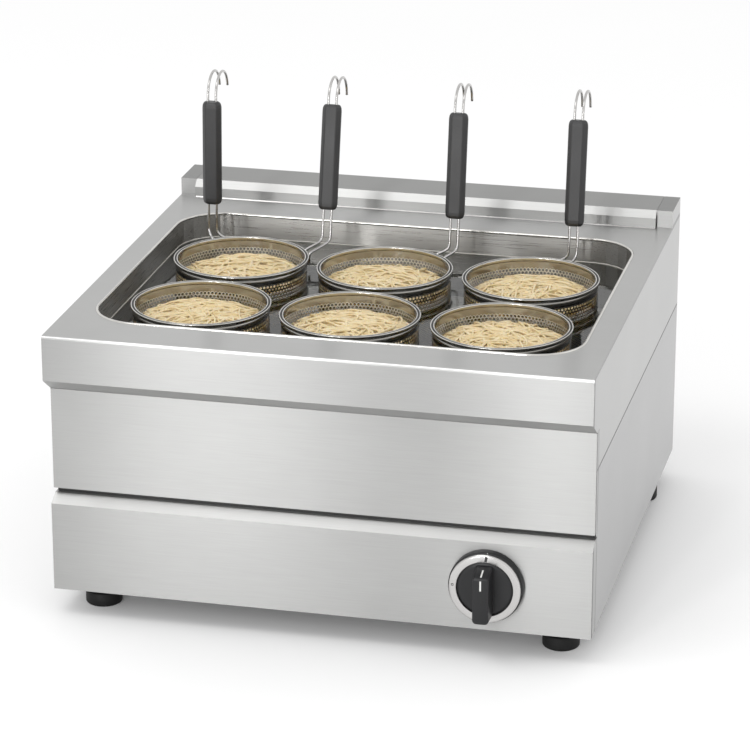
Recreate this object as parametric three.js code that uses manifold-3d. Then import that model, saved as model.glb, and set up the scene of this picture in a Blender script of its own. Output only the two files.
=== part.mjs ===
// Countertop pasta cooker with six lift-out baskets, in millimetres, Z up, front towards -Y.
import * as THREE from "three";
import { mergeVertices } from "three/addons/utils/BufferGeometryUtils.js";
import Module from "manifold-3d";

const wasm = await Module();
wasm.setup();

// Driving sizes of the body
const bodyWidth = 600;
const bodyDepth = 593;
const bodyHeight = 300;
const sheet = 1.5;
const fit = 0.3;
const seam = 0.6;

// Worktop: front band, slanted return under it, side skirts and the raised rear
const bandHeight = 51;
const returnDrop = 17;
const edgeRadius = 3;
const skirtDrop = 112;
const upstandDepth = 58;
const upstandHeight = 20.5;
const endBlockWidth = 19;
const railReach = 7.5;
const railBevel = 8;

// Front fascias, set back from the worktop band, wrapped round the corners
const frontPanelSetback = 25;
const controlPanelHeight = 109;
const controlPanelSetback = 15;
const ledgeRise = 8;
const ledgeRun = 14;
const panelGap = 7;
const fasciaWrap = 38.5;
const railSetback = 34.5;
const railDepth = 12.5;

// Well in the worktop, placed by its margins from the edges of the body
const wellSideMargin = 29.5;
const wellFront = 60.5;
const wellRearMargin = 122.5;
const underWellHeight = 95;
const wellRadius = 55;
const wellFlange = 14;

// Lower tray, joggles and feet
const trayClearance = 4;
const joggleHeight = 15;
const joggleInset = 14;
const footHeight = 32;
const footRadius = 20.5;
const footRounding = 2;
const footFrontSideInset = 41;
const footRearSideInset = 26;
const footFrontSetback = 66;
const footRearInset = 84;
const studRadius = 5;
const collarRadius = 9;
const studLength = 46;
const discRadius = 17;
const discHeight = 2.2;
const padHeight = 16;
const studSocket = 12;

// Knob and the regulator behind it
const knobSideInset = 113.5;
const knobHeight = 53.5;
const knobRadius = 38.5;
const knobFaceRadius = 30.3;
const knobEdge = 1;
const skirtRadius = 40;
const skirtDepth = 10.5;
const ringDepth = 4;
const barReach = 22;
const barWidth = 19;
const barSlope = 8;
const barRoot = 2;
const shaftRadius = 3;
const regulatorSize = 42;
const regulatorCorner = 4;
const regulatorDepth = 30;

// Baskets, two rows of three, as large as the gaps round them leave room for
const basketGap = 13.5;
const basketRowGap = 11.5;
const basketSideGap = 23;
const basketFrontGap = 26.5;
const basketRearGap = 60;
const basketRimDrop = 6;
const basketRimWire = 5;
const basketWall = 1.5;
const basketStand = 27;
const basketCorner = 9;
const basketSides = 24;
const bandPlain = 16;
const plainFoot = 30;
const slotRows = 2;
const slotColumns = 12;
const slotWidth = 8;
const slotBridge = 12;
const floorSlotLength = 44;
const floorSlotWidth = 7;
const floorSlotCount = 4;

// Noodle portions
const noodleEdgeDrop = 26;
const noodleCrown = 14;
const noodleSides = 16;

// Handles: two wires, a moulded grip and a pair of hooks on top
const wireRadius = 1.5;
const wireSpacing = 9.5;
const gripLength = 122;
const gripWidth = 22.5;
const gripDepth = 13;
const gripChamfer = 4;
const gripEndBevel = 2.5;
const gripBase = 33;
const hookStraight = 6;
const hookRadius = 25;
const hookDegrees = 172;
const legSplay = 15;
const legWeld = 16;
const kneeLift = 3;
const kneeReach = 7;
const weldReach = 3.5;
const tangInset = 6;

// Grip places as shares of the rim radius from the basket's middle; lean back and weld place in degrees
const handlePlans = [
  { name: "a", basket: "back_left", acrossShare: -0.686, backShare: 0.904, leanDegrees: 2, weldDegrees: 124 },
  { name: "b", basket: "back_left", acrossShare: 1.064, backShare: 1.006, leanDegrees: 12, weldDegrees: 32 },
  { name: "c", basket: "back_middle", acrossShare: 0.827, backShare: 1.006, leanDegrees: 9, weldDegrees: 50 },
  { name: "d", basket: "back_right", acrossShare: 0.436, backShare: 1.045, leanDegrees: 8, weldDegrees: 71 },
];

// Parts inside the well and under it
const falseBottomMargin = 8;
const falseBottomLegLength = 180;
const falseSlotRows = 3;
const falseSlotColumns = 9;
const falseSlotWidth = 9;
const falseSlotBridge = 18;
const elementRadius = 4;
const elementLift = 12;
const elementLoops = 3;
const elementSideGap = 105.5;
const elementFrontGap = 69.5;
const elementRearGap = 70.5;
const nutRadius = 9;
const nutHeight = 6;
const probeRadius = 4;
const probeLength = 14;
const drainRadius = 17;
const drainBore = 14;
const drainBend = 32;
const elbowTail = 10;
const drainDrop = 50;
const drainSideInset = 150;
const drainRearGap = 30.5;
const terminalWidth = 62;
const terminalDepth = 24;
const terminalHeight = 26;
const terminalWays = 5;
const contactorWidth = 46;
const contactorDepth = 70;
const contactorHeight = 58;
const glandRadius = 12;
const glandFlange = 4;

// Sides of the round parts
const knobSides = 32;
const footSides = 20;
const rodSides = 16;
const holeSides = 12;
const pipeSides = 8;
const wireSides = 6;
const wellCornerSteps = 5;
const hookSteps = 7;
const bendSteps = 3;
const elbowSteps = 5;

// Levels and planes that follow from the sizes above
const topZ = footHeight + bodyHeight;
const bottomZ = footHeight;
const halfWidth = bodyWidth / 2;
const bandY = (barReach - bodyDepth) / 2;
const rearY = bandY + bodyDepth;
const upstandY = rearY - upstandDepth;
const frontPanelY = bandY + frontPanelSetback;
const frontPanelTopZ = topZ - bandHeight - returnDrop - fit;
const controlPanelY = bandY + controlPanelSetback;
const controlTopZ = bottomZ + controlPanelHeight;
const frontPanelBottomZ = controlTopZ + panelGap;
const wrapY = bandY + fasciaWrap;
const skirtZ = topZ - skirtDrop;
const wellWidth = bodyWidth - 2 * wellSideMargin;
const wellLength = bodyDepth - wellFront - wellRearMargin;
const wellFrontY = bandY + wellFront;
const wellRearY = wellFrontY + wellLength;
const wellCentreY = wellFrontY + wellLength / 2;
const wellFloorZ = bottomZ + underWellHeight;
const knobX = halfWidth - knobSideInset;
const knobZ = bottomZ + knobHeight;
const trayWall = knobHeight - regulatorSize / 2 - trayClearance;
const radiusAcross = (wellWidth - 2 * basketGap - 2 * basketSideGap) / 6;
const radiusAlong = (wellLength - basketFrontGap - basketRowGap - basketRearGap) / 4;
const basketRimRadius = Math.min(radiusAcross, radiusAlong);
const basketPitchX = wellWidth / 2 - basketSideGap - basketRimRadius;
const basketPitchY = wellLength - basketFrontGap - basketRearGap - 2 * basketRimRadius;
const rimTopZ = topZ - basketRimDrop;
const shellRadius = basketRimRadius - basketRimWire / 2;
const shellTopZ = rimTopZ - basketRimWire - fit;
const basketFloorZ = wellFloorZ + basketStand;
const plainHeight = bandPlain + plainFoot + (slotRows - 1) * slotBridge;
const slotHeight = (shellTopZ - basketFloorZ - plainHeight) / slotRows;
const falseBottomTopZ = basketFloorZ - fit;
const elementPitch = (wellWidth - 2 * elementSideGap) / (elementLoops * 2 - 1);
const elementZ = wellFloorZ + elementLift;
const drainX = drainSideInset - halfWidth;
const drainY = wellRearY - drainRearGap;
const drainZ = wellFloorZ - drainDrop;
const partsY = rearY - footRearInset;
const overshoot = 10;
const weldTolerance = 0.0005;

// Directions of the row frame
const right = new THREE.Vector3(1, 0, 0);
const back = new THREE.Vector3(0, 1, 0);
const up = new THREE.Vector3(0, 0, 1);

// Closed solids from three.js geometry

function solidFrom(geometry) {
  const bare = geometry.index ? geometry.toNonIndexed() : geometry.clone();
  bare.deleteAttribute("normal");
  bare.deleteAttribute("uv");
  const welded = mergeVertices(bare, weldTolerance);
  const corners = welded.index.array;
  const kept = [];
  for (let i = 0; i < corners.length; i += 3) {
    const [a, b, c] = [corners[i], corners[i + 1], corners[i + 2]];
    if (a !== b && b !== c && c !== a) kept.push(a, b, c);
  }
  const build = (triangles) => new wasm.Manifold(new wasm.Mesh({
    numProp: 3,
    vertProperties: new Float32Array(welded.attributes.position.array),
    triVerts: new Uint32Array(triangles),
  }));
  const solid = build(kept);
  if (solid.volume() > 0) return solid;
  return build(kept.reverse());
}

function outline(points) {
  return new THREE.Shape(points.map(([x, y]) => new THREE.Vector2(x, y)));
}

// Corner i of the polygon is rounded with radii[i]; zero keeps it sharp
function rounded(points, radii, steps = 3) {
  const result = [];
  points.forEach((point, i) => {
    const corner = new THREE.Vector2(...point);
    const before = new THREE.Vector2(...points[(i + points.length - 1) % points.length]);
    const after = new THREE.Vector2(...points[(i + 1) % points.length]);
    if (!radii[i]) {
      result.push(point);
      return;
    }
    const behind = before.sub(corner).normalize();
    const ahead = after.sub(corner).normalize();
    const half = Math.acos(behind.dot(ahead)) / 2;
    const reach = radii[i] / Math.tan(half);
    const middle = behind.clone().add(ahead).normalize().multiplyScalar(radii[i] / Math.sin(half)).add(corner);
    const start = corner.clone().addScaledVector(behind, reach).sub(middle);
    const end = corner.clone().addScaledVector(ahead, reach).sub(middle);
    const sweep = Math.atan2(start.cross(end), start.dot(end));
    for (let k = 0; k <= steps; k += 1) {
      const turned = start.clone().rotateAround(new THREE.Vector2(), sweep * k / steps).add(middle);
      result.push([turned.x, turned.y]);
    }
  });
  return result;
}

function prismZ(points, zLow, zHigh) {
  const geometry = new THREE.ExtrudeGeometry(outline(points), { depth: zHigh - zLow, bevelEnabled: false });
  return solidFrom(geometry).translate([0, 0, zLow]);
}

// Points are [y, z]; the prism runs along X
function prismX(points, xLow, xHigh) {
  const geometry = new THREE.ExtrudeGeometry(outline(points), { depth: xHigh - xLow, bevelEnabled: false });
  geometry.rotateX(Math.PI / 2);
  geometry.rotateZ(Math.PI / 2);
  return solidFrom(geometry).translate([xLow, 0, 0]);
}

function slab(xLow, xHigh, yLow, yHigh, zLow, zHigh) {
  return prismZ([[xLow, yLow], [xHigh, yLow], [xHigh, yHigh], [xLow, yHigh]], zLow, zHigh);
}

// Closed profile of [radius, z] pairs turned about the Z axis
function turned(profile, sides) {
  const closed = [...profile, profile[0]].map(([r, z]) => new THREE.Vector2(r, z));
  const geometry = new THREE.LatheGeometry(closed, sides);
  geometry.rotateX(Math.PI / 2);
  return solidFrom(geometry);
}

function rod(radius, zLow, zHigh, sides = rodSides) {
  return turned([[0, zLow], [radius, zLow], [radius, zHigh], [0, zHigh]], sides);
}

function circle(radius, sides) {
  const points = [];
  for (let i = 0; i < sides; i += 1) {
    const angle = (i + 1 / 2) * 2 * Math.PI / sides;
    points.push([radius * Math.cos(angle), radius * Math.sin(angle)]);
  }
  return points;
}

// A straight-line route; a tube along it has one cross section at each of its points
class Route extends THREE.Curve {
  constructor(points) {
    super();
    this.points = points;
  }

  getPointAt(share) {
    const place = share * (this.points.length - 1);
    const i = Math.min(Math.floor(place), this.points.length - 2);
    return this.points[i].clone().lerp(this.points[i + 1], place - i);
  }

  getTangentAt(share) {
    const last = this.points.length - 1;
    const i = Math.round(share * last);
    const before = this.points[Math.max(i - 1, 0)];
    return this.points[Math.min(i + 1, last)].clone().sub(before).normalize();
  }
}

function tube(points, radius, sides, bore = 0) {
  const section = outline(circle(radius, sides));
  if (bore) section.holes.push(new THREE.Path(circle(bore, sides).map(([x, y]) => new THREE.Vector2(x, y))));
  const settings = { steps: points.length - 1, extrudePath: new Route(points), bevelEnabled: false };
  return solidFrom(new THREE.ExtrudeGeometry(section, settings));
}

// Points of an arc of the given radius that starts along "ahead" and bends towards "side"
function arc(start, ahead, side, radius, degrees, steps) {
  const points = [];
  for (let i = 0; i <= steps; i += 1) {
    const angle = THREE.MathUtils.degToRad(degrees * i / steps);
    const point = start.clone().addScaledVector(ahead, radius * Math.sin(angle));
    points.push(point.addScaledVector(side, radius * (1 - Math.cos(angle))));
  }
  return points;
}

// The corner between two straight stretches, rounded over the given reach to both sides
function bend(before, corner, after, reach) {
  const start = before.clone().sub(corner).setLength(reach).add(corner);
  const end = after.clone().sub(corner).setLength(reach).add(corner);
  return new THREE.QuadraticBezierCurve3(start, corner, end).getPoints(bendSteps);
}

function joined(solids) {
  return solids.reduce((sum, solid) => sum.add(solid));
}

function without(solid, cutters) {
  return cutters.reduce((rest, cutter) => rest.subtract(cutter), solid);
}

function wellOutline(grow) {
  const halfX = wellWidth / 2 + grow;
  const low = wellFrontY - grow;
  const high = wellRearY + grow;
  const radius = wellRadius + grow;
  const corners = [[-halfX, low], [halfX, low], [halfX, high], [-halfX, high]];
  return rounded(corners, corners.map(() => radius), wellCornerSteps);
}

// Body panels

function worktop() {
  const side = [
    [bandY, topZ],
    [bandY, topZ - bandHeight],
    [frontPanelY, topZ - bandHeight - returnDrop],
    [wrapY + fit, topZ - bandHeight - returnDrop],
    [wrapY + fit, skirtZ],
    [rearY, skirtZ],
    [rearY, topZ + upstandHeight],
    [upstandY, topZ + upstandHeight],
    [upstandY, topZ],
  ];
  const shell = prismX(rounded(side, [edgeRadius, 0, 0, 0, 0, 0, 0, 0, 0]), -halfWidth, halfWidth);
  const returnSlope = returnDrop / frontPanelSetback;
  const returnThickness = sheet * Math.hypot(1, returnSlope);
  const inner = [
    [bandY + sheet, topZ - sheet],
    [bandY + sheet, topZ - bandHeight - sheet * returnSlope + returnThickness],
    [frontPanelY, topZ - bandHeight - returnDrop + returnThickness],
    [frontPanelY, skirtZ - overshoot],
    [rearY - sheet, skirtZ - overshoot],
    [rearY - sheet, topZ - sheet],
  ];
  const hollow = prismX(inner, -halfWidth + sheet, halfWidth - sheet);
  const railX = halfWidth - endBlockWidth;
  const railSeat = slab(-railX, railX, upstandY - overshoot, rearY + overshoot,
    topZ, topZ + upstandHeight + overshoot);
  const blockHollow = (low, high) => slab(low, high, upstandY + sheet, rearY - sheet,
    topZ - sheet - overshoot, topZ + upstandHeight - sheet);
  const opening = prismZ(wellOutline(sheet + fit), skirtZ, topZ + overshoot);
  return without(shell, [
    hollow,
    railSeat,
    blockHollow(-halfWidth + sheet, -railX - sheet),
    blockHollow(railX + sheet, halfWidth - sheet),
    opening,
  ]);
}

function hookRail() {
  const frontY = upstandY - railReach;
  const halfLength = halfWidth - endBlockWidth - fit;
  const crownZ = topZ + upstandHeight;
  const side = [
    [frontY, topZ + fit],
    [rearY, topZ + fit],
    [rearY, crownZ],
    [frontY + railBevel, crownZ],
    [frontY, crownZ - railBevel],
  ];
  const bevelInset = sheet * Math.tan(Math.PI / 8);
  const inner = [
    [frontY + sheet, topZ - overshoot],
    [rearY - sheet, topZ - overshoot],
    [rearY - sheet, crownZ - sheet],
    [frontY + railBevel + bevelInset, crownZ - sheet],
    [frontY + sheet, crownZ - railBevel - bevelInset],
  ];
  const hollow = prismX(inner, -halfLength + sheet, halfLength - sheet);
  return prismX(side, -halfLength, halfLength).subtract(hollow);
}

function well() {
  const flangeTop = topZ - sheet - fit;
  const walls = prismZ(wellOutline(sheet), wellFloorZ - sheet, topZ);
  const flange = prismZ(wellOutline(wellFlange), flangeTop - sheet, flangeTop);
  const inside = prismZ(wellOutline(0), wellFloorZ, topZ + overshoot);
  const hole = (radius) => rod(radius, wellFloorZ - overshoot, wellFloorZ + overshoot, holeSides);
  const holes = elementEnds().map(([x, y]) => hole(elementRadius + fit).translate([x, y, 0]));
  holes.push(hole(drainBore).translate([drainX, drainY, 0]));
  holes.push(hole(probeRadius + fit).translate(probePlace()));
  return without(joined([walls, flange]), [inside, ...holes]);
}

function frontPanel() {
  const outer = slab(-halfWidth, halfWidth, frontPanelY, wrapY, frontPanelBottomZ, frontPanelTopZ);
  const inner = slab(-halfWidth + sheet, halfWidth - sheet, frontPanelY + sheet, wrapY + overshoot,
    frontPanelBottomZ + sheet, frontPanelTopZ + overshoot);
  return outer.subtract(inner);
}

function controlPanel() {
  const shelfY = controlPanelY + ledgeRun;
  const side = [
    [controlPanelY, bottomZ],
    [wrapY, bottomZ],
    [wrapY, controlTopZ],
    [shelfY, controlTopZ],
    [controlPanelY, controlTopZ - ledgeRise],
  ];
  const slope = ledgeRise / ledgeRun;
  const drop = sheet * Math.hypot(1, slope);
  const inner = [
    [controlPanelY + sheet, bottomZ - overshoot],
    [wrapY + overshoot, bottomZ - overshoot],
    [wrapY + overshoot, controlTopZ - drop],
    [shelfY, controlTopZ - drop],
    [controlPanelY + sheet, controlTopZ - ledgeRise + sheet * slope - drop],
  ];
  const hollow = prismX(inner, -halfWidth + sheet, halfWidth - sheet);
  const shaftHole = facing(rod(shaftRadius + 2 * fit, -overshoot, overshoot), controlPanelY);
  return without(prismX(side, -halfWidth, halfWidth), [hollow, shaftHole]);
}

// The solid is built about Z and then turned so that +Z points to the front at the knob
function facing(solid, y) {
  return solid.rotate([90, 0, 0]).translate([knobX, y, knobZ]);
}

function sidePanel(sign) {
  const outerX = halfWidth;
  const tongueX = halfWidth - sheet - fit;
  const low = wrapY + fit;
  const topEdge = skirtZ - seam;
  const plate = slab(outerX - sheet, outerX, low, rearY, bottomZ, topEdge);
  const tongue = slab(tongueX - sheet, tongueX, low + joggleInset, rearY - sheet - joggleInset,
    topEdge - joggleHeight, topEdge + joggleHeight);
  const step = slab(tongueX - sheet, outerX, low + joggleInset, rearY - sheet - joggleInset,
    topEdge - joggleHeight, topEdge);
  const panel = joined([plate, tongue, step]);
  return sign > 0 ? panel : panel.mirror([1, 0, 0]);
}

function backPanel() {
  const halfX = halfWidth - sheet - fit;
  const topEdge = skirtZ - seam;
  const plate = slab(-halfX, halfX, rearY - sheet, rearY, bottomZ, topEdge);
  const tongueX = halfX - joggleInset;
  const tongueY = rearY - sheet - fit;
  const low = topEdge - joggleHeight;
  const tongue = slab(-tongueX, tongueX, tongueY - sheet, tongueY, low, topEdge + joggleHeight);
  const step = slab(-tongueX, tongueX, tongueY - sheet, rearY, low, topEdge);
  const pipeHole = rod(drainRadius + fit, -overshoot, overshoot).rotate([90, 0, 0])
    .translate([drainX, rearY, drainZ]);
  return joined([plate, tongue, step]).subtract(pipeHole);
}

function baseTray() {
  const halfX = halfWidth - sheet - fit;
  const frontEdge = controlPanelY + sheet + fit;
  const rearEdge = rearY - sheet - fit;
  const outer = slab(-halfX, halfX, frontEdge, rearEdge, bottomZ, bottomZ + trayWall);
  const inner = slab(-halfX + sheet, halfX - sheet, frontEdge + sheet, rearEdge - sheet,
    bottomZ + sheet, bottomZ + trayWall + overshoot);
  const hole = (radius) => rod(radius, 0, bottomZ + overshoot, holeSides);
  const studHoles = footPlaces().map(({ x, y }) => hole(studRadius + fit).translate([x, y, 0]));
  return without(outer, [inner, ...studHoles, hole(glandRadius + fit).translate(glandPlace())]);
}

function crossRail() {
  const halfX = halfWidth - sheet - fit;
  const faceY = bandY + railSetback;
  return slab(-halfX, halfX, faceY, faceY + railDepth, controlTopZ + fit, frontPanelBottomZ - fit);
}

// Feet

function footPlaces() {
  const frontX = halfWidth - footFrontSideInset;
  const backX = halfWidth - footRearSideInset;
  const frontY = bandY + footFrontSetback;
  const backY = rearY - footRearInset;
  return [
    { name: "front_left", x: -frontX, y: frontY },
    { name: "front_right", x: frontX, y: frontY },
    { name: "rear_left", x: -backX, y: backY },
    { name: "rear_right", x: backX, y: backY },
  ];
}

function foot() {
  const pad = turned([
    [0, 0],
    [footRadius - footRounding, 0],
    [footRadius, footRounding],
    [footRadius, padHeight],
    [0, padHeight],
  ], footSides);
  return pad.subtract(rod(studRadius + fit, padHeight - studSocket, padHeight + overshoot, holeSides));
}

// The disc lies on the pad, and a collar reaches up to the body
function footStud() {
  const discLow = padHeight + fit;
  const rodLow = padHeight - studSocket;
  const collarTop = bottomZ - fit;
  return turned([
    [0, rodLow],
    [studRadius, rodLow],
    [studRadius, discLow],
    [discRadius, discLow],
    [discRadius, discLow + discHeight],
    [collarRadius, discLow + discHeight],
    [collarRadius, collarTop],
    [studRadius, collarTop],
    [studRadius, rodLow + studLength],
    [0, rodLow + studLength],
  ], holeSides);
}

// Knob

function knobSkirt() {
  const bore = shaftRadius + 2 * fit;
  const disc = turned([
    [bore, fit],
    [skirtRadius, fit],
    [skirtRadius, skirtDepth - knobEdge],
    [skirtRadius - knobEdge, skirtDepth],
    [bore, skirtDepth],
  ], knobSides);
  return facing(disc, controlPanelY);
}

function knobRing() {
  const low = skirtDepth + fit;
  const ring = turned([
    [knobFaceRadius, low],
    [knobRadius, low],
    [knobRadius, low + ringDepth - knobEdge],
    [knobRadius - knobEdge, low + ringDepth],
    [knobFaceRadius, low + ringDepth],
  ], knobSides);
  return facing(ring, controlPanelY);
}

function knobCap() {
  const low = skirtDepth + fit;
  const faceRadius = knobFaceRadius - fit;
  const disc = rod(faceRadius, low, low + ringDepth - knobEdge, knobSides);
  const front = controlPanelSetback + barReach;
  const halfLength = Math.sqrt(faceRadius ** 2 - (barWidth / 2) ** 2) - fit;
  const base = low + ringDepth - barRoot;
  const bar = prismX([
    [-halfLength, base],
    [halfLength, base],
    [halfLength - barSlope, front],
    [-halfLength + knobEdge, front],
  ], -barWidth / 2, barWidth / 2);
  const socket = rod(shaftRadius + fit, 0, low + ringDepth + shaftRadius, holeSides);
  return facing(without(joined([disc, bar]), [socket]), controlPanelY);
}

function regulatorShaft() {
  const high = skirtDepth + fit + ringDepth + shaftRadius - fit;
  return facing(rod(shaftRadius, -sheet - regulatorDepth / 2, high, holeSides), controlPanelY);
}

function regulatorBody() {
  const half = regulatorSize / 2;
  const seat = -sheet - fit;
  const corners = [[-half, -half], [half, -half], [half, half], [-half, half]];
  const housing = prismZ(rounded(corners, corners.map(() => regulatorCorner), 2), seat - regulatorDepth, seat);
  const bore = rod(shaftRadius + fit, seat - regulatorDepth / 2, overshoot, holeSides);
  return facing(housing.subtract(bore), controlPanelY);
}

// Baskets

function basketPlaces() {
  const columns = ["left", "middle", "right"];
  const rows = ["front", "back"];
  const places = [];
  rows.forEach((row, j) => {
    columns.forEach((column, i) => {
      places.push({
        name: `${row}_${column}`,
        x: (i - 1) * basketPitchX,
        y: wellFrontY + basketFrontGap + basketRimRadius + j * basketPitchY,
      });
    });
  });
  return places;
}

// Perforated wall and floor: each cutting bar crosses the basket and opens two slots
function basketShell() {
  const inner = shellRadius - basketWall;
  const shell = turned([
    [0, basketFloorZ],
    [shellRadius - basketCorner, basketFloorZ],
    [shellRadius, basketFloorZ + basketCorner],
    [shellRadius, shellTopZ],
    [inner, shellTopZ],
    [inner, basketFloorZ + basketCorner],
    [inner - basketCorner, basketFloorZ + basketWall],
    [0, basketFloorZ + basketWall],
  ], basketSides);
  const bars = [];
  const pitchDegrees = 360 / slotColumns;
  for (let row = 0; row < slotRows; row += 1) {
    const high = shellTopZ - bandPlain - row * (slotHeight + slotBridge);
    for (let i = 0; i < slotColumns / 2; i += 1) {
      const turn = (i + row / 2) * pitchDegrees + 180 / basketSides;
      bars.push(slab(-basketRimRadius, basketRimRadius, -slotWidth / 2, slotWidth / 2, high - slotHeight, high)
        .rotate([0, 0, turn]));
    }
  }
  const floorPitch = floorSlotWidth * 2;
  for (let i = 0; i < floorSlotCount; i += 1) {
    const y = (i - (floorSlotCount - 1) / 2) * floorPitch;
    bars.push(slab(-floorSlotLength / 2, floorSlotLength / 2, y - floorSlotWidth / 2, y + floorSlotWidth / 2,
      basketFloorZ - overshoot, basketFloorZ + basketWall + overshoot));
  }
  return without(shell, bars);
}

function basketRim() {
  const half = basketRimWire / 2;
  const section = circle(half, wireSides);
  const centre = basketRimRadius - half * Math.cos(Math.PI / 6);
  return turned(section.map(([r, z]) => [centre + r, rimTopZ - half + z]), basketSides);
}

function noodles() {
  const radius = (shellRadius - basketWall) * Math.cos(Math.PI / basketSides) - fit - fit;
  const low = basketFloorZ + basketWall + fit;
  const edge = rimTopZ - noodleEdgeDrop;
  const crown = (share) => edge + noodleCrown * (1 - share * share);
  return turned([
    [0, low],
    [radius - basketCorner, low],
    [radius, low + basketCorner],
    [radius, edge],
    [radius / 2, crown(1 / 2)],
    [0, crown(0)],
  ], noodleSides);
}

// Handles

function basketNamed(name) {
  return basketPlaces().find((place) => place.name === name);
}

// Foot of the grip, in the row frame
function gripPlace(plan) {
  const basket = basketNamed(plan.basket);
  return [
    basket.x + plan.acrossShare * basketRimRadius,
    basket.y + plan.backShare * basketRimRadius,
    topZ + gripBase,
  ];
}

// From handle axes (x across, y back, z up along the grip) to the row frame
function placedHandle(solid, plan) {
  return solid.rotate([-plan.leanDegrees, 0, 0]).translate(gripPlace(plan));
}

function hook(side) {
  const x = side * wireSpacing / 2;
  const foot = new THREE.Vector3(x, 0, gripLength - tangInset - wireRadius);
  const start = new THREE.Vector3(x, 0, gripLength + hookStraight);
  return tube([foot, ...arc(start, up, back, hookRadius, hookDegrees, hookSteps)], wireRadius, wireSides);
}

// Distance from the basket's middle to the flat sides of its rim in the given direction
function rimReach(turn) {
  const flat = 2 * Math.PI / basketSides;
  const aside = THREE.MathUtils.euclideanModulo(turn, flat) - flat / 2;
  return basketRimRadius * Math.cos(flat / 2) / Math.cos(aside);
}

// One leg, in row-frame axes, from the weld on the collar up into the grip
function leg(plan, side) {
  const basket = basketNamed(plan.basket);
  const turn = THREE.MathUtils.degToRad(plan.weldDegrees) - side * legSplay / 2 / basketRimRadius;
  const weldRadius = rimReach(turn) + wireRadius + fit;
  const weldX = basket.x + weldRadius * Math.cos(turn);
  const weldY = basket.y + weldRadius * Math.sin(turn);
  const along = up.clone().applyAxisAngle(right, -THREE.MathUtils.degToRad(plan.leanDegrees));
  const grip = new THREE.Vector3(...gripPlace(plan)).addScaledVector(right, side * wireSpacing / 2);
  const knee = grip.clone().addScaledVector(along, (rimTopZ + kneeLift - grip.z) / along.z);
  const collar = new THREE.Vector3(weldX, weldY, rimTopZ - basketRimWire / 2);
  const foot = new THREE.Vector3(weldX, weldY, rimTopZ - legWeld);
  const top = grip.clone().addScaledVector(along, tangInset + wireRadius);
  return tube([foot, ...bend(foot, collar, knee, weldReach), ...bend(collar, knee, top, kneeReach), top],
    wireRadius, wireSides);
}

function handleWire(plan) {
  const tang = slab(-wireSpacing / 2 - wireRadius, wireSpacing / 2 + wireRadius, -wireRadius, wireRadius,
    tangInset, gripLength - tangInset);
  const upper = placedHandle(joined([tang, hook(-1), hook(1)]), plan);
  return joined([upper, leg(plan, -1), leg(plan, 1)]);
}

function handleGrip(plan) {
  const halfX = gripWidth / 2;
  const halfY = gripDepth / 2;
  const corners = [[-halfX, -halfY], [halfX, -halfY], [halfX, halfY], [-halfX, halfY]];
  const section = rounded(corners, corners.map(() => gripChamfer), 1);
  const geometry = new THREE.ExtrudeGeometry(outline(section), {
    depth: gripLength - 2 * gripEndBevel,
    bevelEnabled: true,
    bevelThickness: gripEndBevel,
    bevelSize: gripEndBevel,
    bevelOffset: -gripEndBevel,
    bevelSegments: 2,
  });
  const core = solidFrom(geometry).translate([0, 0, gripEndBevel]);
  const slotX = wireSpacing / 2 + wireRadius + fit;
  const slotY = wireRadius + fit;
  const slot = slab(-slotX, slotX, -slotY, slotY, -overshoot, gripLength + overshoot);
  return placedHandle(core.subtract(slot), plan);
}

// Inside the well

function falseBottom() {
  const plateLow = falseBottomTopZ - sheet;
  const plate = prismZ(wellOutline(-falseBottomMargin), plateLow, falseBottomTopZ);
  const width = wellWidth - 2 * falseBottomMargin;
  const length = wellLength - 2 * falseBottomMargin;
  const legLow = wellCentreY - falseBottomLegLength / 2;
  const leg = slab(width / 2 - sheet, width / 2, legLow, legLow + falseBottomLegLength,
    wellFloorZ + fit, falseBottomTopZ);
  const slotPitch = width / (falseSlotColumns + 1);
  const slotLength = (length - (falseSlotRows + 1) * falseSlotBridge) / falseSlotRows;
  const slots = [];
  for (let row = 0; row < falseSlotRows; row += 1) {
    const low = wellCentreY - length / 2 + falseSlotBridge + row * (slotLength + falseSlotBridge);
    for (let column = 1; column <= falseSlotColumns; column += 1) {
      const x = column * slotPitch - width / 2;
      slots.push(slab(x - falseSlotWidth / 2, x + falseSlotWidth / 2, low, low + slotLength,
        plateLow - overshoot, falseBottomTopZ + overshoot));
    }
  }
  return without(joined([plate, leg, leg.mirror([1, 0, 0])]), slots);
}

function elementEnds() {
  const span = (elementLoops * 2 - 1) * elementPitch;
  return [-1, 1].map((side) => [side * span / 2, wellFrontY + elementFrontGap]);
}

// One end of the element: up through the floor of the well, then bent to the rear
function elementRiser(x, y) {
  const foot = new THREE.Vector3(x, y, wellFloorZ - sheet - fit - nutHeight - elementRadius);
  const start = new THREE.Vector3(x, y, elementZ - elementLift);
  return [foot, ...arc(start, up, back, elementLift, 90, bendSteps)];
}

// One tube folded into loops, with both ends turned down
function heatingElement() {
  const [[startX, nearY], [endX]] = elementEnds();
  const bend = elementPitch / 2;
  const rearTurnY = wellRearY - elementRearGap - bend;
  const frontTurnY = nearY + elementLift + bend;
  const points = elementRiser(startX, nearY);
  for (let i = 0; i < elementLoops * 2 - 1; i += 1) {
    const atRear = i % 2 === 0;
    const start = new THREE.Vector3(startX + i * elementPitch, atRear ? rearTurnY : frontTurnY, elementZ);
    const ahead = back.clone().multiplyScalar(atRear ? 1 : -1);
    points.push(...arc(start, ahead, right, bend, 180, bendSteps * 2));
  }
  points.push(...elementRiser(endX, nearY).reverse());
  return tube(points, elementRadius, wireSides);
}

function elementNut([x, y]) {
  const high = wellFloorZ - sheet - fit;
  const blank = rod(nutRadius, high - nutHeight, high, wireSides);
  const bore = rod(elementRadius + fit, high - nutHeight - overshoot, high + overshoot);
  return blank.subtract(bore).translate([x, y, 0]);
}

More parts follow.
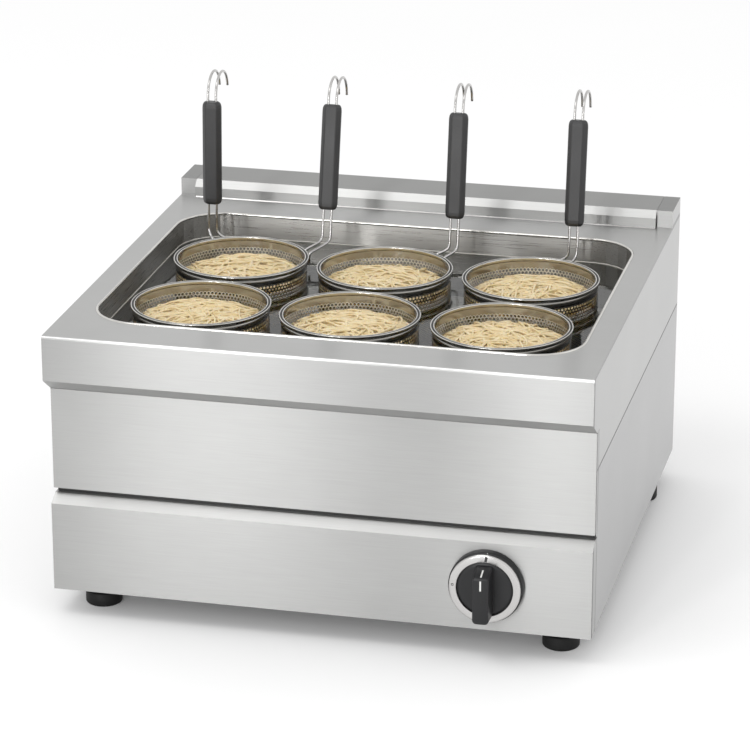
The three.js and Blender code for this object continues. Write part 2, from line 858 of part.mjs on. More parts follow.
function probePlace() {
  return [elementPitch * 2, wellRearY - elementRearGap + elementPitch / 2, 0];
}

function temperatureProbe() {
  const seat = wellFloorZ - sheet - fit;
  return turned([
    [0, seat - nutHeight * 2],
    [probeRadius, seat - nutHeight * 2],
    [probeRadius, seat - nutHeight],
    [nutRadius, seat - nutHeight],
    [nutRadius, seat],
    [probeRadius, seat],
    [probeRadius, wellFloorZ + probeLength],
    [0, wellFloorZ + probeLength],
  ], holeSides).translate(probePlace());
}

// The elbow hangs under the floor of the well and turns to the rear
function drainElbow() {
  const top = new THREE.Vector3(drainX, drainY, wellFloorZ - sheet - fit);
  const start = new THREE.Vector3(drainX, drainY, drainZ + drainBend);
  const down = up.clone().negate();
  const tail = new THREE.Vector3(drainX, drainY + drainBend + elbowTail, drainZ);
  const route = [top, ...arc(start, down, back, drainBend, 90, elbowSteps), tail];
  return tube(route, drainRadius, pipeSides, drainBore);
}

function drainPipe() {
  const start = new THREE.Vector3(drainX, drainY + drainBend + elbowTail + fit, drainZ);
  const end = new THREE.Vector3(drainX, rearY - fit, drainZ);
  return tube([start, end], drainRadius, pipeSides, drainBore);
}

// Electrical parts on the tray

function glandPlace() {
  return [halfWidth / 2 + terminalWidth, partsY, 0];
}

function cableGland() {
  const low = bottomZ - nutHeight * 2;
  const high = bottomZ + sheet + fit + nutHeight;
  const bore = glandRadius / 2;
  return turned([
    [bore, low],
    [glandRadius, low],
    [glandRadius + glandFlange, low + nutHeight / 2],
    [glandRadius + glandFlange, bottomZ - fit],
    [glandRadius, bottomZ - fit],
    [glandRadius, high],
    [bore, high],
  ], holeSides).translate(glandPlace());
}

// A block by its middle in plan, its width and depth, and its low and high levels
function block(x, y, width, depth, low, high) {
  return slab(x - width / 2, x + width / 2, y - depth / 2, y + depth / 2, low, high);
}

function terminalBlock() {
  const low = bottomZ + sheet + fit;
  const high = low + terminalHeight;
  const x = halfWidth / 2;
  const pitch = terminalWidth / terminalWays;
  const pockets = [];
  for (let i = 0; i < terminalWays; i += 1) {
    const pocketX = x + (i - (terminalWays - 1) / 2) * pitch;
    pockets.push(block(pocketX, partsY, pitch * 2 / 3, terminalDepth / 2,
      low + terminalHeight / 2, high + overshoot));
  }
  return without(block(x, partsY, terminalWidth, terminalDepth, low, high), pockets);
}

function contactor() {
  const low = bottomZ + sheet + fit;
  const base = block(0, partsY, contactorWidth, contactorDepth, low, low + contactorHeight * 2 / 3);
  const cap = block(0, partsY, contactorWidth * 2 / 3, contactorDepth / 2, low + contactorHeight / 3,
    low + contactorHeight);
  return joined([base, cap]);
}

// Materials

function steel(color, roughness) {
  return () => new THREE.MeshStandardMaterial({ color, roughness, metalness: 1 });
}

function plastic(color, roughness) {
  return () => new THREE.MeshStandardMaterial({ color, roughness, metalness: 0 });
}

const brushedSteel = steel(0xc9c8c4, 0.35);
const wellSteel = steel(0x9a9a98, 0.25);
const polishedSteel = steel(0xd8d6d0, 0.15);
const zincSteel = steel(0xa9abad, 0.5);
const blackPlastic = plastic(0x232323, 0.5);
const greyPlastic = plastic(0x8d8f92, 0.55);
const pasta = plastic(0xe9d7a2, 0.7);

const group = new THREE.Group();

function addNode(name, solid, material) {
  const source = solid.getMesh();
  const geometry = new THREE.BufferGeometry();
  const positions = new Float32Array(source.numVert * 3);
  for (let i = 0; i < source.numVert; i += 1) {
    for (let axis = 0; axis < 3; axis += 1) {
      positions[i * 3 + axis] = source.vertProperties[i * source.numProp + axis];
    }
  }
  geometry.setAttribute("position", new THREE.BufferAttribute(positions, 3));
  geometry.setIndex(new THREE.BufferAttribute(new Uint32Array(source.triVerts), 1));
  geometry.computeVertexNormals();
  const mesh = new THREE.Mesh(geometry, material());
  mesh.name = name;
  group.add(mesh);
}

addNode("worktop", worktop(), brushedSteel);
addNode("hook_rail", hookRail(), brushedSteel);
addNode("well", well(), wellSteel);
addNode("front_panel", frontPanel(), brushedSteel);
addNode("control_panel", controlPanel(), brushedSteel);
addNode("side_panel_left", sidePanel(-1), brushedSteel);
addNode("side_panel_right", sidePanel(1), brushedSteel);
addNode("back_panel", backPanel(), brushedSteel);
addNode("base_tray", baseTray(), zincSteel);
addNode("cross_rail", crossRail(), zincSteel);

for (const { name, x, y } of footPlaces()) {
  addNode(`foot_${name}`, foot().translate([x, y, 0]), blackPlastic);
  addNode(`foot_stud_${name}`, footStud().translate([x, y, 0]), zincSteel);
}

addNode("knob_skirt", knobSkirt(), blackPlastic);
addNode("knob_ring", knobRing(), polishedSteel);
addNode("knob_cap", knobCap(), blackPlastic);
addNode("regulator_shaft", regulatorShaft(), zincSteel);
addNode("regulator_body", regulatorBody(), greyPlastic);

for (const { name, x, y } of basketPlaces()) {
  addNode(`basket_${name}`, basketShell().translate([x, y, 0]), polishedSteel);
  addNode(`basket_rim_${name}`, basketRim().translate([x, y, 0]), polishedSteel);
  addNode(`noodles_${name}`, noodles().translate([x, y, 0]), pasta);
}

for (const plan of handlePlans) {
  addNode(`handle_wire_${plan.name}`, handleWire(plan), polishedSteel);
  addNode(`handle_grip_${plan.name}`, handleGrip(plan), blackPlastic);
}

addNode("false_bottom", falseBottom(), wellSteel);
addNode("heating_element", heatingElement(), zincSteel);
elementEnds().forEach((place, i) => addNode(`element_nut_${i + 1}`, elementNut(place), zincSteel));
addNode("temperature_probe", temperatureProbe(), polishedSteel);
addNode("drain_elbow", drainElbow(), zincSteel);
addNode("drain_pipe", drainPipe(), zincSteel);
addNode("cable_gland", cableGland(), blackPlastic);
addNode("terminal_block", terminalBlock(), greyPlastic);
addNode("contactor", contactor(), greyPlastic);

export default group;
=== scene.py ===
# Countertop pasta cooker: looks, floor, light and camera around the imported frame.
import math
import random
import bpy
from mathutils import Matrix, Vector


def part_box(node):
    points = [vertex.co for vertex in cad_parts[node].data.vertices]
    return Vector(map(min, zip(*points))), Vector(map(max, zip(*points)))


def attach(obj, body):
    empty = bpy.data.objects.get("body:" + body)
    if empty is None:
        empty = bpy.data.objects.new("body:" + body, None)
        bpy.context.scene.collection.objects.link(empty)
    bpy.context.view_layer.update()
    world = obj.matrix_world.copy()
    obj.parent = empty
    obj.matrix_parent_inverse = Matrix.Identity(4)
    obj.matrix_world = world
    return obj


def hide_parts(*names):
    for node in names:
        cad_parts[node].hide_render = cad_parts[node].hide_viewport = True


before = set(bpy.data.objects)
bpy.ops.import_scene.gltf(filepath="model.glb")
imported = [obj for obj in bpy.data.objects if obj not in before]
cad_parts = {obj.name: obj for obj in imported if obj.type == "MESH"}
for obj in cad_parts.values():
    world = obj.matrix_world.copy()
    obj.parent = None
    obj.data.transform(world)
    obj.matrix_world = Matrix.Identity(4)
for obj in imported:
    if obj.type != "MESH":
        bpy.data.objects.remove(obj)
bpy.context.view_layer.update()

# camera
cameraSettings = {
    "place": (0.84457, -3.5765, 1.54822),
    "target": (-0.003692, 0.0145, 0.206272),
    "lens": 164.81,      # on a 36 mm sensor
    "sensor": 36.0,
    "clipEnd": 50,
}


def addObject(name, data):
    item = bpy.data.objects.new(name, data)
    bpy.context.scene.collection.objects.link(item)
    return item


def aimAt(place, target):
    return (Vector(target) - Vector(place)).to_track_quat("-Z", "Y").to_euler()


def makeCamera(settings):
    data = bpy.data.cameras.new("camera")
    data.lens = settings["lens"]
    data.sensor_width = settings["sensor"]
    data.clip_end = settings["clipEnd"]
    camera = addObject("camera", data)
    camera.location = settings["place"]
    camera.rotation_euler = aimAt(settings["place"], settings["target"])
    bpy.context.scene.camera = camera


makeCamera(cameraSettings)
bpy.context.scene.view_settings.view_transform = "Standard"
print("camera ready")

# sizes read from the frame, in metres
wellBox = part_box("well")
topZ = wellBox[1][2]
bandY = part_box("worktop")[0][1]      # front of the band under the worktop
basketNames = [row + "_" + column for row in ("front", "back") for column in ("left", "middle", "right")]


def middle(node):
    low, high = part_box(node)
    return (Vector(low) + Vector(high)) / 2


# materials

# sockets of a mix node: the first value, the second value and the result
mixSockets = {"FLOAT": (2, 3, 0), "VECTOR": (4, 5, 1), "RGBA": (6, 7, 2)}


def newMaterial(name):
    material = bpy.data.materials.new(name)
    material.use_nodes = True
    tree = material.node_tree
    tree.nodes.clear()
    output = tree.nodes.new("ShaderNodeOutputMaterial")
    shader = tree.nodes.new("ShaderNodeBsdfPrincipled")
    tree.links.new(shader.outputs["BSDF"], output.inputs["Surface"])
    return material, tree, shader


def feed(tree, node, values):
    # links the outputs of other nodes, and sets plain values on the sockets
    for key, value in values.items():
        if isinstance(value, bpy.types.NodeSocket):
            tree.links.new(value, node.inputs[key])
        else:
            node.inputs[key].default_value = value


def addNode(tree, kind, inputs, **properties):
    node = tree.nodes.new(kind)
    for key, value in properties.items():
        setattr(node, key, value)
    feed(tree, node, inputs)
    return node


def mix(tree, kind, factor, first, second, blend="MIX"):
    firstSocket, secondSocket, result = mixSockets[kind]
    inputs = {"Factor": factor, firstSocket: first, secondSocket: second}
    return addNode(tree, "ShaderNodeMix", inputs, data_type=kind, blend_type=blend).outputs[result]


def compute(tree, operation, first, second=0):
    return addNode(tree, "ShaderNodeMath", {0: first, 1: second}, operation=operation).outputs[0]


def remap(tree, value, low, high, fromLow=0.3, fromHigh=0.7):
    inputs = {"Value": value, "From Min": fromLow, "From Max": fromHigh, "To Min": low, "To Max": high}
    return addNode(tree, "ShaderNodeMapRange", inputs).outputs["Result"]


def mixColour(tree, pattern, first, second):
    return mix(tree, "RGBA", remap(tree, pattern, 0, 1), (*first, 1), (*second, 1))


def objectPoint(tree, scale=(1, 1, 1)):
    point = addNode(tree, "ShaderNodeTexCoord", {}).outputs["Object"]
    return addNode(tree, "ShaderNodeMapping", {"Vector": point, "Scale": scale}).outputs["Vector"]


def partAlong(tree, vector, axis):
    return addNode(tree, "ShaderNodeSeparateXYZ", {"Vector": vector}).outputs[axis]


def faceNormal(tree, axis):
    return partAlong(tree, addNode(tree, "ShaderNodeNewGeometry", {}).outputs["Normal"], axis)


def noise(tree, scale, detail=3.0, rough=0.5, vector=None):
    inputs = {"Vector": vector or objectPoint(tree), "Scale": scale, "Detail": detail, "Roughness": rough}
    return addNode(tree, "ShaderNodeTexNoise", inputs).outputs["Fac"]


def bumped(tree, height, strength, depth):
    inputs = {"Height": height, "Strength": strength, "Distance": depth}
    return addNode(tree, "ShaderNodeBump", inputs).outputs["Normal"]


# how the brush lines and the painted light and shade of all brushed steel are laid
brushSettings = {
    "along": 22, "across": 1500,      # scale of the brush lines
    "limits": {"X": 0.7, "Z": 0.75},      # how squarely a side or level face looks along its axis
    "slopeFrom": 0.2, "slopeTo": 0.5, "levelFrom": 0.85, "levelTo": 0.97,
    "cloud": 0.10, "cloudScale": 7.0, "bumpDepth": 0.0002, "raisedBlend": 0.0005,
}
# painted shade at the folds and joints of the sheets, drawn as dark lines on the sides
seamSettings = {
    "seamReach": 0.0009, "seamShare": 0.05, "seamShift": 0.00015,
    "foldReach": 0.0069, "foldShare": 0.40, "topReach": 0.0024, "topShare": 0.5, "blur": 0.15,
}


def faceTurn(tree, axis):
    # 1 where the face looks along the axis, 0 elsewhere
    size = compute(tree, "ABSOLUTE", faceNormal(tree, axis))
    return compute(tree, "GREATER_THAN", size, brushSettings["limits"][axis])


def nearLevel(tree, axis, level, reach, dark, plain):
    # painted shade line: dark within reach of a level along the axis, plain further away
    offset = compute(tree, "SUBTRACT", partAlong(tree, objectPoint(tree), axis), level)
    distance = compute(tree, "ABSOLUTE", offset)
    blur = seamSettings["blur"]
    return remap(tree, distance, dark, plain, reach * (1 - blur), reach * (1 + blur))


def paintedFaceShade(tree, shares, lines):
    # painted light and shade by the way a face looks: share of the base colour on front walls, on slopes that
    # look up and on side walls, where folds and joints get painted shade as dark lines: (axis, level, reach,
    # share)
    b = brushSettings
    wall, slope, side = shares
    lined = side
    for axis, level, reach, share in lines:
        lined = compute(tree, "MINIMUM", nearLevel(tree, axis, level, reach, side * share, side), lined)
    upright = mix(tree, "FLOAT", faceTurn(tree, "X"), wall, lined)
    rise = faceNormal(tree, "Z")
    sloping = mix(tree, "FLOAT", remap(tree, rise, 0, 1, b["slopeFrom"], b["slopeTo"]), upright, slope)
    return mix(tree, "FLOAT", remap(tree, rise, 0, 1, b["levelFrom"], b["levelTo"]), sloping, 1)


def paintedRaisedShade(tree, height, share):
    # painted shade: level faces above the height take this share of the colour
    z = partAlong(tree, objectPoint(tree), "Z")
    above = remap(tree, z, 1, share, height, height + brushSettings["raisedBlend"])
    return mix(tree, "FLOAT", faceTurn(tree, "Z"), 1, above)


def acrossBrush(tree):
    # square to the brush lines: upright on walls, front to back on level faces
    return mix(tree, "VECTOR", faceTurn(tree, "Z"), (0, 0, 1), (0, 1, 0))


def grainVector(tree):
    # brush lines run along X on top and front faces and along Y on the side faces
    along, across = brushSettings["along"], brushSettings["across"]
    frontGrain = objectPoint(tree, (along, across, across))
    sideGrain = objectPoint(tree, (across, along, across))
    return mix(tree, "VECTOR", faceTurn(tree, "X"), frontGrain, sideGrain)


def brushedSteel(name, colour, spread, rough, bump, stretch=0.9, shares=(1, 1, 1), lines=(), raised=(1, 1)):
    # spread is the contrast of the brush lines and stretch how far they draw out reflections
    material, tree, shader = newMaterial(name)
    grain = noise(tree, scale=1.0, detail=2.0, vector=grainVector(tree))
    cloud = noise(tree, scale=brushSettings["cloudScale"], rough=0.55)
    dark, light = [c * (1 - spread) for c in colour], [c * (1 + spread) for c in colour]
    brushed = mixColour(tree, grain, dark, light)
    clouded = mix(tree, "RGBA", brushSettings["cloud"], brushed, remap(tree, cloud, 0.5, 1), "MULTIPLY")
    # the share paints light and shade: lighter slopes, other greys on walls and sides, dark fold and joint
    # lines, darker raised tops
    share = compute(tree, "MULTIPLY", paintedFaceShade(tree, shares, lines), paintedRaisedShade(tree, *raised))
    feed(tree, shader, {
        "Base Color": mix(tree, "RGBA", 1, clouded, share, "MULTIPLY"), "Metallic": 1,
        "Roughness": remap(tree, grain, *rough), "Tangent": acrossBrush(tree), "Anisotropic": stretch,
        "Normal": bumped(tree, grain, bump, brushSettings["bumpDepth"])})
    return material


def turnedSteel(name, colour, darker, rough, centre, ringScale, stretch):
    # circular brush lines round the centre, as a lathe leaves them
    material, tree, shader = newMaterial(name)
    ends = {0: objectPoint(tree), 1: centre}
    arm = addNode(tree, "ShaderNodeVectorMath", ends, operation="SUBTRACT").outputs[0]
    radius = addNode(tree, "ShaderNodeVectorMath", {0: arm}, operation="LENGTH").outputs["Value"]
    inputs = {"W": radius, "Scale": ringScale}
    rings = addNode(tree, "ShaderNodeTexNoise", inputs, noise_dimensions="1D").outputs["Fac"]
    feed(tree, shader, {
        "Base Color": mixColour(tree, rings, [c * darker for c in colour], colour), "Metallic": 1,
        "Roughness": remap(tree, rings, *rough), "Tangent": arm, "Anisotropic": stretch})
    return material


def polishedSteel(name, colour, rough, darker=0.86):
    material, tree, shader = newMaterial(name)
    cloud = noise(tree, scale=60.0, detail=4.0, rough=0.6)
    clouded = mixColour(tree, cloud, [c * darker for c in colour], colour)
    feed(tree, shader, {"Base Color": clouded, "Metallic": 1, "Roughness": remap(tree, cloud, *rough)})
    return material


def moulded(name, colour, lighter, rough, grainScale, bump, gloss=0.5, bumpDepth=0.0003):
    material, tree, shader = newMaterial(name)
    grain = noise(tree, scale=grainScale, rough=0.6)
    cloud = noise(tree, scale=25.0, detail=2.0)
    feed(tree, shader, {
        "Base Color": mixColour(tree, cloud, colour, [c + lighter for c in colour]),
        "Roughness": remap(tree, cloud, *rough), "Specular IOR Level": gloss,
        "Normal": bumped(tree, grain, bump, bumpDepth)})
    return material


pastaSettings = {"rough": (0.28, 0.42), "glow": 0.25, "glowReach": (0.004, 0.0025, 0.001),
                 "bump": 0.15, "bumpDepth": 0.0003}


def pastaMaterial(name, deep, pale):
    s = pastaSettings
    material, tree, shader = newMaterial(name)
    cloud = noise(tree, scale=90.0, rough=0.55)
    fine = noise(tree, scale=700.0, detail=2.0)
    feed(tree, shader, {
        "Base Color": mixColour(tree, cloud, deep, pale), "Roughness": remap(tree, fine, *s["rough"]),
        "Subsurface Weight": s["glow"], "Subsurface Radius": s["glowReach"],
        "Normal": bumped(tree, fine, s["bump"], s["bumpDepth"])})
    return material


waterSettings = {"tint": (0.80, 0.84, 0.82, 1), "rough": 0.02, "bending": 1.33,
                 "rippleScale": 22.0, "ripple": 0.5, "rippleDepth": 0.0012}


def waterMaterial(name, s):
    material, tree, shader = newMaterial(name)
    ripples = noise(tree, scale=s["rippleScale"], detail=2.0)
    feed(tree, shader, {
        "Base Color": s["tint"], "Roughness": s["rough"], "IOR": s["bending"], "Transmission Weight": 1,
        "Normal": bumped(tree, ripples, s["ripple"], s["rippleDepth"])})
    return material


def seamLine(axis, level):
    return (axis, level - seamSettings["seamShift"], seamSettings["seamReach"], seamSettings["seamShare"])


def foldLine(node):
    return ("Y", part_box(node)[0][1], seamSettings["foldReach"], seamSettings["foldShare"])


# painted shade lines for the sheet joints and folds, as (axis, level, reach, share)
skirtSeam = seamLine("Z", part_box("worktop")[0][2])
wrapSeam = seamLine("Y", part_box("side_panel_right")[0][1])
topFold = ("Z", topZ, seamSettings["topReach"], seamSettings["topShare"])
# the panels, rail and well are one brushed steel: their different greys and shares are painted light and
# shade for the way each part faces the lamps
frontGrey = (0.36, 0.36, 0.355)
fineBrush = {"spread": 0.03, "rough": (0.31, 0.34), "bump": 0.02, "stretch": 0.99}
steelUpper = brushedSteel("brushed_steel_upper", frontGrey, **fineBrush, shares=(1, 1.6, 1.3),
                          lines=(foldLine("front_panel"), wrapSeam, skirtSeam))
steelLower = brushedSteel("brushed_steel_lower", frontGrey, **fineBrush, shares=(1, 1.65, 1.3),
                          lines=(foldLine("control_panel"), wrapSeam))
steelSide = brushedSteel("brushed_steel_side", (0.50, 0.50, 0.50), spread=0.03, rough=(0.34, 0.40), bump=0.03,
                         stretch=0.98, lines=(wrapSeam, skirtSeam))
steelTop = brushedSteel("brushed_steel_top", (0.43, 0.43, 0.425), **fineBrush, shares=(0.80, 1.5, 1.18),
                        lines=(foldLine("worktop"), topFold, skirtSeam), raised=(topZ + 0.002, 0.62))
steelRail = brushedSteel("brushed_steel_rail", (0.30, 0.30, 0.295), spread=0.03, rough=(0.28, 0.34),
                         bump=0.05, stretch=0.98, shares=(1, 1.6, 1))
steelWell = brushedSteel("well_steel", (0.42, 0.41, 0.39), spread=0.05, rough=(0.26, 0.34), bump=0.08,
                         stretch=0.98)
steelZinc = brushedSteel("zinc_steel", (0.50, 0.51, 0.52), spread=0.08, rough=(0.35, 0.50), bump=0.10,
                         stretch=0.3)
# near-black steel standing in for shade: the rail in the front gap, the tray under the body and the rim
# groove
steelPaintedShade = brushedSteel("painted_shade_steel", (0.05, 0.05, 0.05), spread=0.06, rough=(0.30, 0.40), bump=0.10)
steelBasket = brushedSteel("basket_steel", (0.50, 0.495, 0.49), spread=0.05, rough=(0.13, 0.19), bump=0.03)
# painted shade: darker copies of the basket steel for the outside of the band and net
steelShadedBand = brushedSteel("painted_shade_band_steel", (0.34, 0.33, 0.31), spread=0.05, rough=(0.12, 0.18), bump=0.03)
sheathSteel = brushedSteel("element_sheath", (0.20, 0.19, 0.18), spread=0.15, rough=(0.40, 0.60), bump=0.10)
steelPolished = polishedSteel("polished_steel", (0.64, 0.63, 0.60), rough=(0.08, 0.18))
steelWire = polishedSteel("wire_steel", (0.54, 0.53, 0.52), rough=(0.12, 0.20))
# painted light: a bright copy of the basket steel for the upper net rows inside
steelLitNet = polishedSteel("painted_light_mesh_steel", (0.96, 0.94, 0.89), rough=(0.40, 0.50))
steelShadedNet = polishedSteel("painted_shade_outer_mesh", (0.17, 0.16, 0.14), rough=(0.22, 0.32))
# name, colour, what the pale clouds add to it, roughness, scale of the grain, bump, gloss
blackPlastic = moulded("black_plastic", (0.011, 0.011, 0.012), 0.007, (0.34, 0.46), 900.0, 0.10, 0.35)
gripPlastic = moulded("grip_plastic", (0.018, 0.018, 0.019), 0.010, (0.34, 0.44), 900.0, 0.10)
blackRubber = moulded("black_rubber", (0.008, 0.008, 0.008), 0.006, (0.50, 0.65), 600.0, 0.15, 0.25)
greyPlastic = moulded("grey_plastic", (0.20, 0.21, 0.22), 0.06, (0.42, 0.55), 700.0, 0.12)
markPaint = moulded("mark_paint", (0.72, 0.72, 0.70), 0.08, (0.45, 0.55), 500.0, 0.05)
inkPaint = moulded("ink_paint", (0.03, 0.03, 0.03), 0.02, (0.45, 0.55), 500.0, 0.05)
# pale strip along the waterline, a painted highlight
waterlineHighlight = moulded("painted_waterline_highlight", (0.62, 0.60, 0.55), 0.12, (0.20, 0.35), 300.0, 0.05)
noodlePaste = pastaMaterial("noodle_paste", deep=(0.68, 0.53, 0.28), pale=(0.78, 0.67, 0.45))
# lighter paste for the lump's wall seen through the basket holes as painted light, darker paste under the
# strands as painted shade
noodlePaintedLight = pastaMaterial("noodle_wall_painted_light", deep=(0.80, 0.58, 0.22), pale=(0.90, 0.70, 0.34))
noodlePaintedShade = pastaMaterial("noodle_painted_shade", deep=(0.62, 0.38, 0.09), pale=(0.76, 0.54, 0.20))
waterLook = waterMaterial("water", waterSettings)
print("materials ready")


# mesh helpers; a shape is a pair of vertices and faces

def addPiece(name, shape, material, body, smooth=True, replaced=(), shift=(0, 0, 0)):
    vertices, faces = shape
    offset = Vector(shift)
    mesh = bpy.data.meshes.new(name)
    mesh.from_pydata([tuple(Vector(v) + offset) for v in vertices], [], faces)
    mesh.update()
    mesh.validate()
    piece = addObject(name, mesh)
    mesh.materials.append(material)
    if smooth:
        mesh.polygons.foreach_set("use_smooth", [True] * len(mesh.polygons))
    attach(piece, body)
    if replaced:
        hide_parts(*replaced)
    return piece


def onCircle(radius, turn, z):
    return Vector((radius * math.cos(turn), radius * math.sin(turn), z))


def turnedMesh(profile, segments, closed=True):
    # profile of (radius, z); closed profiles wrap round, open ones start and end on the axis
    vertices, rings, faces = [], [], []
    for r, z in profile:
        if r == 0:
            rings.append([len(vertices)] * segments)
            vertices.append(Vector((0, 0, z)))
            continue
        rings.append(list(range(len(vertices), len(vertices) + segments)))
        vertices += [onCircle(r, 2 * math.pi * k / segments, z) for k in range(segments)]
    last = len(rings) if closed else len(rings) - 1
    for i in range(last):
        a, b = rings[i], rings[(i + 1) % len(rings)]
        for k in range(segments):
            n = (k + 1) % segments
            face = list(dict.fromkeys((a[k], a[n], b[n], b[k])))
            if len(face) > 2:
                faces.append(face)
    return vertices, faces


def loftMesh(outlines, wrap=False):
    # skin over a stack of like outlines; it wraps back to the first one or is capped at both ends
    n, count = len(outlines[0]), len(outlines)
    vertices = [v for outline in outlines for v in outline]
    faces = []
    for i in range(count if wrap else count - 1):
        here, ahead = i * n, (i + 1) % count * n
        for k in range(n):
            m = (k + 1) % n
            faces.append((here + k, here + m, ahead + m, ahead + k))
    if not wrap:
        faces.append(tuple(reversed(range(n))))
        faces.append(tuple(range(len(vertices) - n, len(vertices))))
    return vertices, faces


def tubeMesh(points, radius, sides):
    rings = []
    side = None
    for i, point in enumerate(points):
        ahead = points[min(i + 1, len(points) - 1)] - points[max(i - 1, 0)]
        ahead.normalize()
        if side is None:
            side = ahead.orthogonal().normalized()
        side = (side - ahead * side.dot(ahead)).normalized()
        other = ahead.cross(side)
        turns = [2 * math.pi * k / sides for k in range(sides)]
        rings.append([point + (side * math.cos(t) + other * math.sin(t)) * radius for t in turns])
    return loftMesh(rings)


def joined(shapes):
    # several shapes as one
    vertices, faces = [], []
    for partVertices, partFaces in shapes:
        start = len(vertices)
        vertices += partVertices
        faces += [tuple(start + v for v in face) for face in partFaces]
    return vertices, faces


def bend(before, corner, after, reach, steps):
    # points of a smooth turn round a corner, from reach before it to reach after it
    start = corner + (before - corner).normalized() * reach
    end = corner + (after - corner).normalized() * reach
    shares = [k / steps for k in range(steps + 1)]
    return [start * (1 - t) ** 2 + corner * 2 * t * (1 - t) + end * t ** 2 for t in shares]


def roundedProfile(corners, radius, steps=4):
    # closed outline of (a, b) pairs with every corner rounded
    points = [Vector(corner) for corner in corners]
    result = []
    for i, here in enumerate(points):
        back, ahead = points[i - 1], points[(i + 1) % len(points)]
        reach = min(radius, (back - here).length / 2, (ahead - here).length / 2)
        result += [tuple(point) for point in bend(back, here, ahead, reach, steps)]
    return result


# carried-over frame pieces

panelFinishes = [
    (steelTop, ["worktop"]), (steelRail, ["hook_rail"]), (steelWell, ["well", "false_bottom"]),
    (steelUpper, ["front_panel"]), (steelLower, ["control_panel", "back_panel"]),
    # base tray and cross rail take near-black steel as painted shade under the body and in the front gap
    (steelSide, ["side_panel_left", "side_panel_right"]), (steelPaintedShade, ["base_tray", "cross_rail"]),
    (steelZinc, ["regulator_shaft", "element_nut_1", "element_nut_2", "drain_elbow", "drain_pipe"]),
    (greyPlastic, ["regulator_body", "terminal_block", "contactor"]), (sheathSteel, ["heating_element"]),
    (steelPolished, ["temperature_probe"]), (blackRubber, ["cable_gland"]),
]
edgeSettings = {
    "widths": {"worktop": 0.0010, "hook_rail": 0.0009, "front_panel": 0.0012, "control_panel": 0.0011,
               "side_panel_left": 0.0006, "side_panel_right": 0.0006, "back_panel": 0.0004},
    "segments": 3, "angle": 30,
}


def roundEdges(piece, width, s):
    bevel = piece.modifiers.new("edge", "BEVEL")
    bevel.width = width
    bevel.segments = s["segments"]
    bevel.limit_method = "ANGLE"
    bevel.angle_limit = math.radians(s["angle"])
    bevel.harden_normals = False


def dress(name, material):
    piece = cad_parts[name]
    if not piece.material_slots:
        piece.data.materials.append(material)
    for place in piece.material_slots:
        place.material = material
    if name in edgeSettings["widths"]:
        roundEdges(piece, edgeSettings["widths"][name], edgeSettings)


for finish, nodeNames in panelFinishes:
    for nodeName in nodeNames:
        dress(nodeName, finish)
print("panels dressed")

# bright bend along the foot of the rear rail: a real bend in brighter wire steel, partly a painted highlight
railSettings = {"size": 0.0012, "gap": 0.0002, "endGap": 0.001}


def makeRailBend(s):
    low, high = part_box("hook_rail")
    y, z = low[1] - s["gap"], topZ + s["gap"]
    corners = [(y, z), (y, z + s["size"]), (y - s["size"], z)]
    ends = (low[0] + s["endGap"], high[0] - s["endGap"])
    shape = loftMesh([[Vector((x, a, b)) for a, b in corners] for x in ends])
    addPiece("rail_bend", shape, steelWire, "housing", smooth=False)


makeRailBend(railSettings)

# feet
footSettings = {"radius": 0.0205, "heel": 0.0028, "brow": 0.0009, "bore": 0.0056, "studGap": 0.0002,
                "plug": 0.001, "plugHole": 0.0001, "heelTurns": (0.4, 0.8, 1.2, math.pi / 2), "segments": 64}


def makeFoot(place, s):
    node = "foot_" + place
    centre = middle(node)
    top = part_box(node)[1][2]
    radius, heel, brow, bore, hole = s["radius"], s["heel"], s["brow"], s["bore"], s["plugHole"]
    block = [(bore, 0), (radius - heel, 0)]
    block += [(radius - heel * (1 - math.sin(a)), heel * (1 - math.cos(a))) for a in s["heelTurns"]]
    block += [(radius, top - brow), (radius - brow, top), (bore, top)]
    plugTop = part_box("foot_stud_" + place)[0][2] - s["studGap"]
    plugFoot = plugTop - s["plug"]
    plug = [(hole, plugFoot), (bore, plugFoot), (bore, plugTop), (hole, plugTop)]
    shape = joined([turnedMesh(block, s["segments"]), turnedMesh(plug, s["segments"])])
    addPiece("foot_pad_" + place, shape, blackRubber, node + "_body",
             replaced=[node], shift=(centre.x, centre.y, 0))


for footName in ("front_left", "front_right", "rear_left", "rear_right"):
    makeFoot(footName, footSettings)
    dress("foot_stud_" + footName, steelZinc)
print("feet made")

# knob
knobSettings = {
    "bore": 0.0036, "gap": 0.0003, "panelGap": 0.0003, "segments": 96,
    "skirtRadius": 0.0405, "skirtDepth": 0.0105, "skirtEdge": 0.0012,
    "ringRadius": 0.0391, "ringDepth": 0.004, "ringSlope": (0.0016, 0.0012), "ringStep": 0.0006,
    "ringEdge": 0.0005,
    "faceRadius": 0.0307, "faceEdge": 0.001, "faceDrops": ((0, 0.0022), (0.0008, 0.0014), (0.004, 0.0010)),
    "barWidth": 0.0186, "barFront": 0.0366, "barUp": 0.0270, "barTop": 0.0206, "barDown": 0.0323,
    "barInset": 0.0006, "barCorner": 0.0048, "lowerSteps": 6, "upperSteps": 4,
}
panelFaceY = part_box("knob_skirt")[1][1] + knobSettings["panelGap"]
knobCentre = middle("knob_ring")
ringSteel = turnedSteel("turned_steel", (0.62, 0.61, 0.60), darker=0.90, rough=(0.19, 0.24),
                        centre=tuple(knobCentre), ringScale=3000, stretch=0.85)


def facing(shape):
    # +Z of the turned piece points to the front
    vertices, faces = shape
    return [Vector((knobCentre.x + v.x, panelFaceY - v.z, knobCentre.z + v.y)) for v in vertices], faces


def ringLevels(s):
    low = s["skirtDepth"] + s["gap"]
    return low, low + s["ringDepth"]


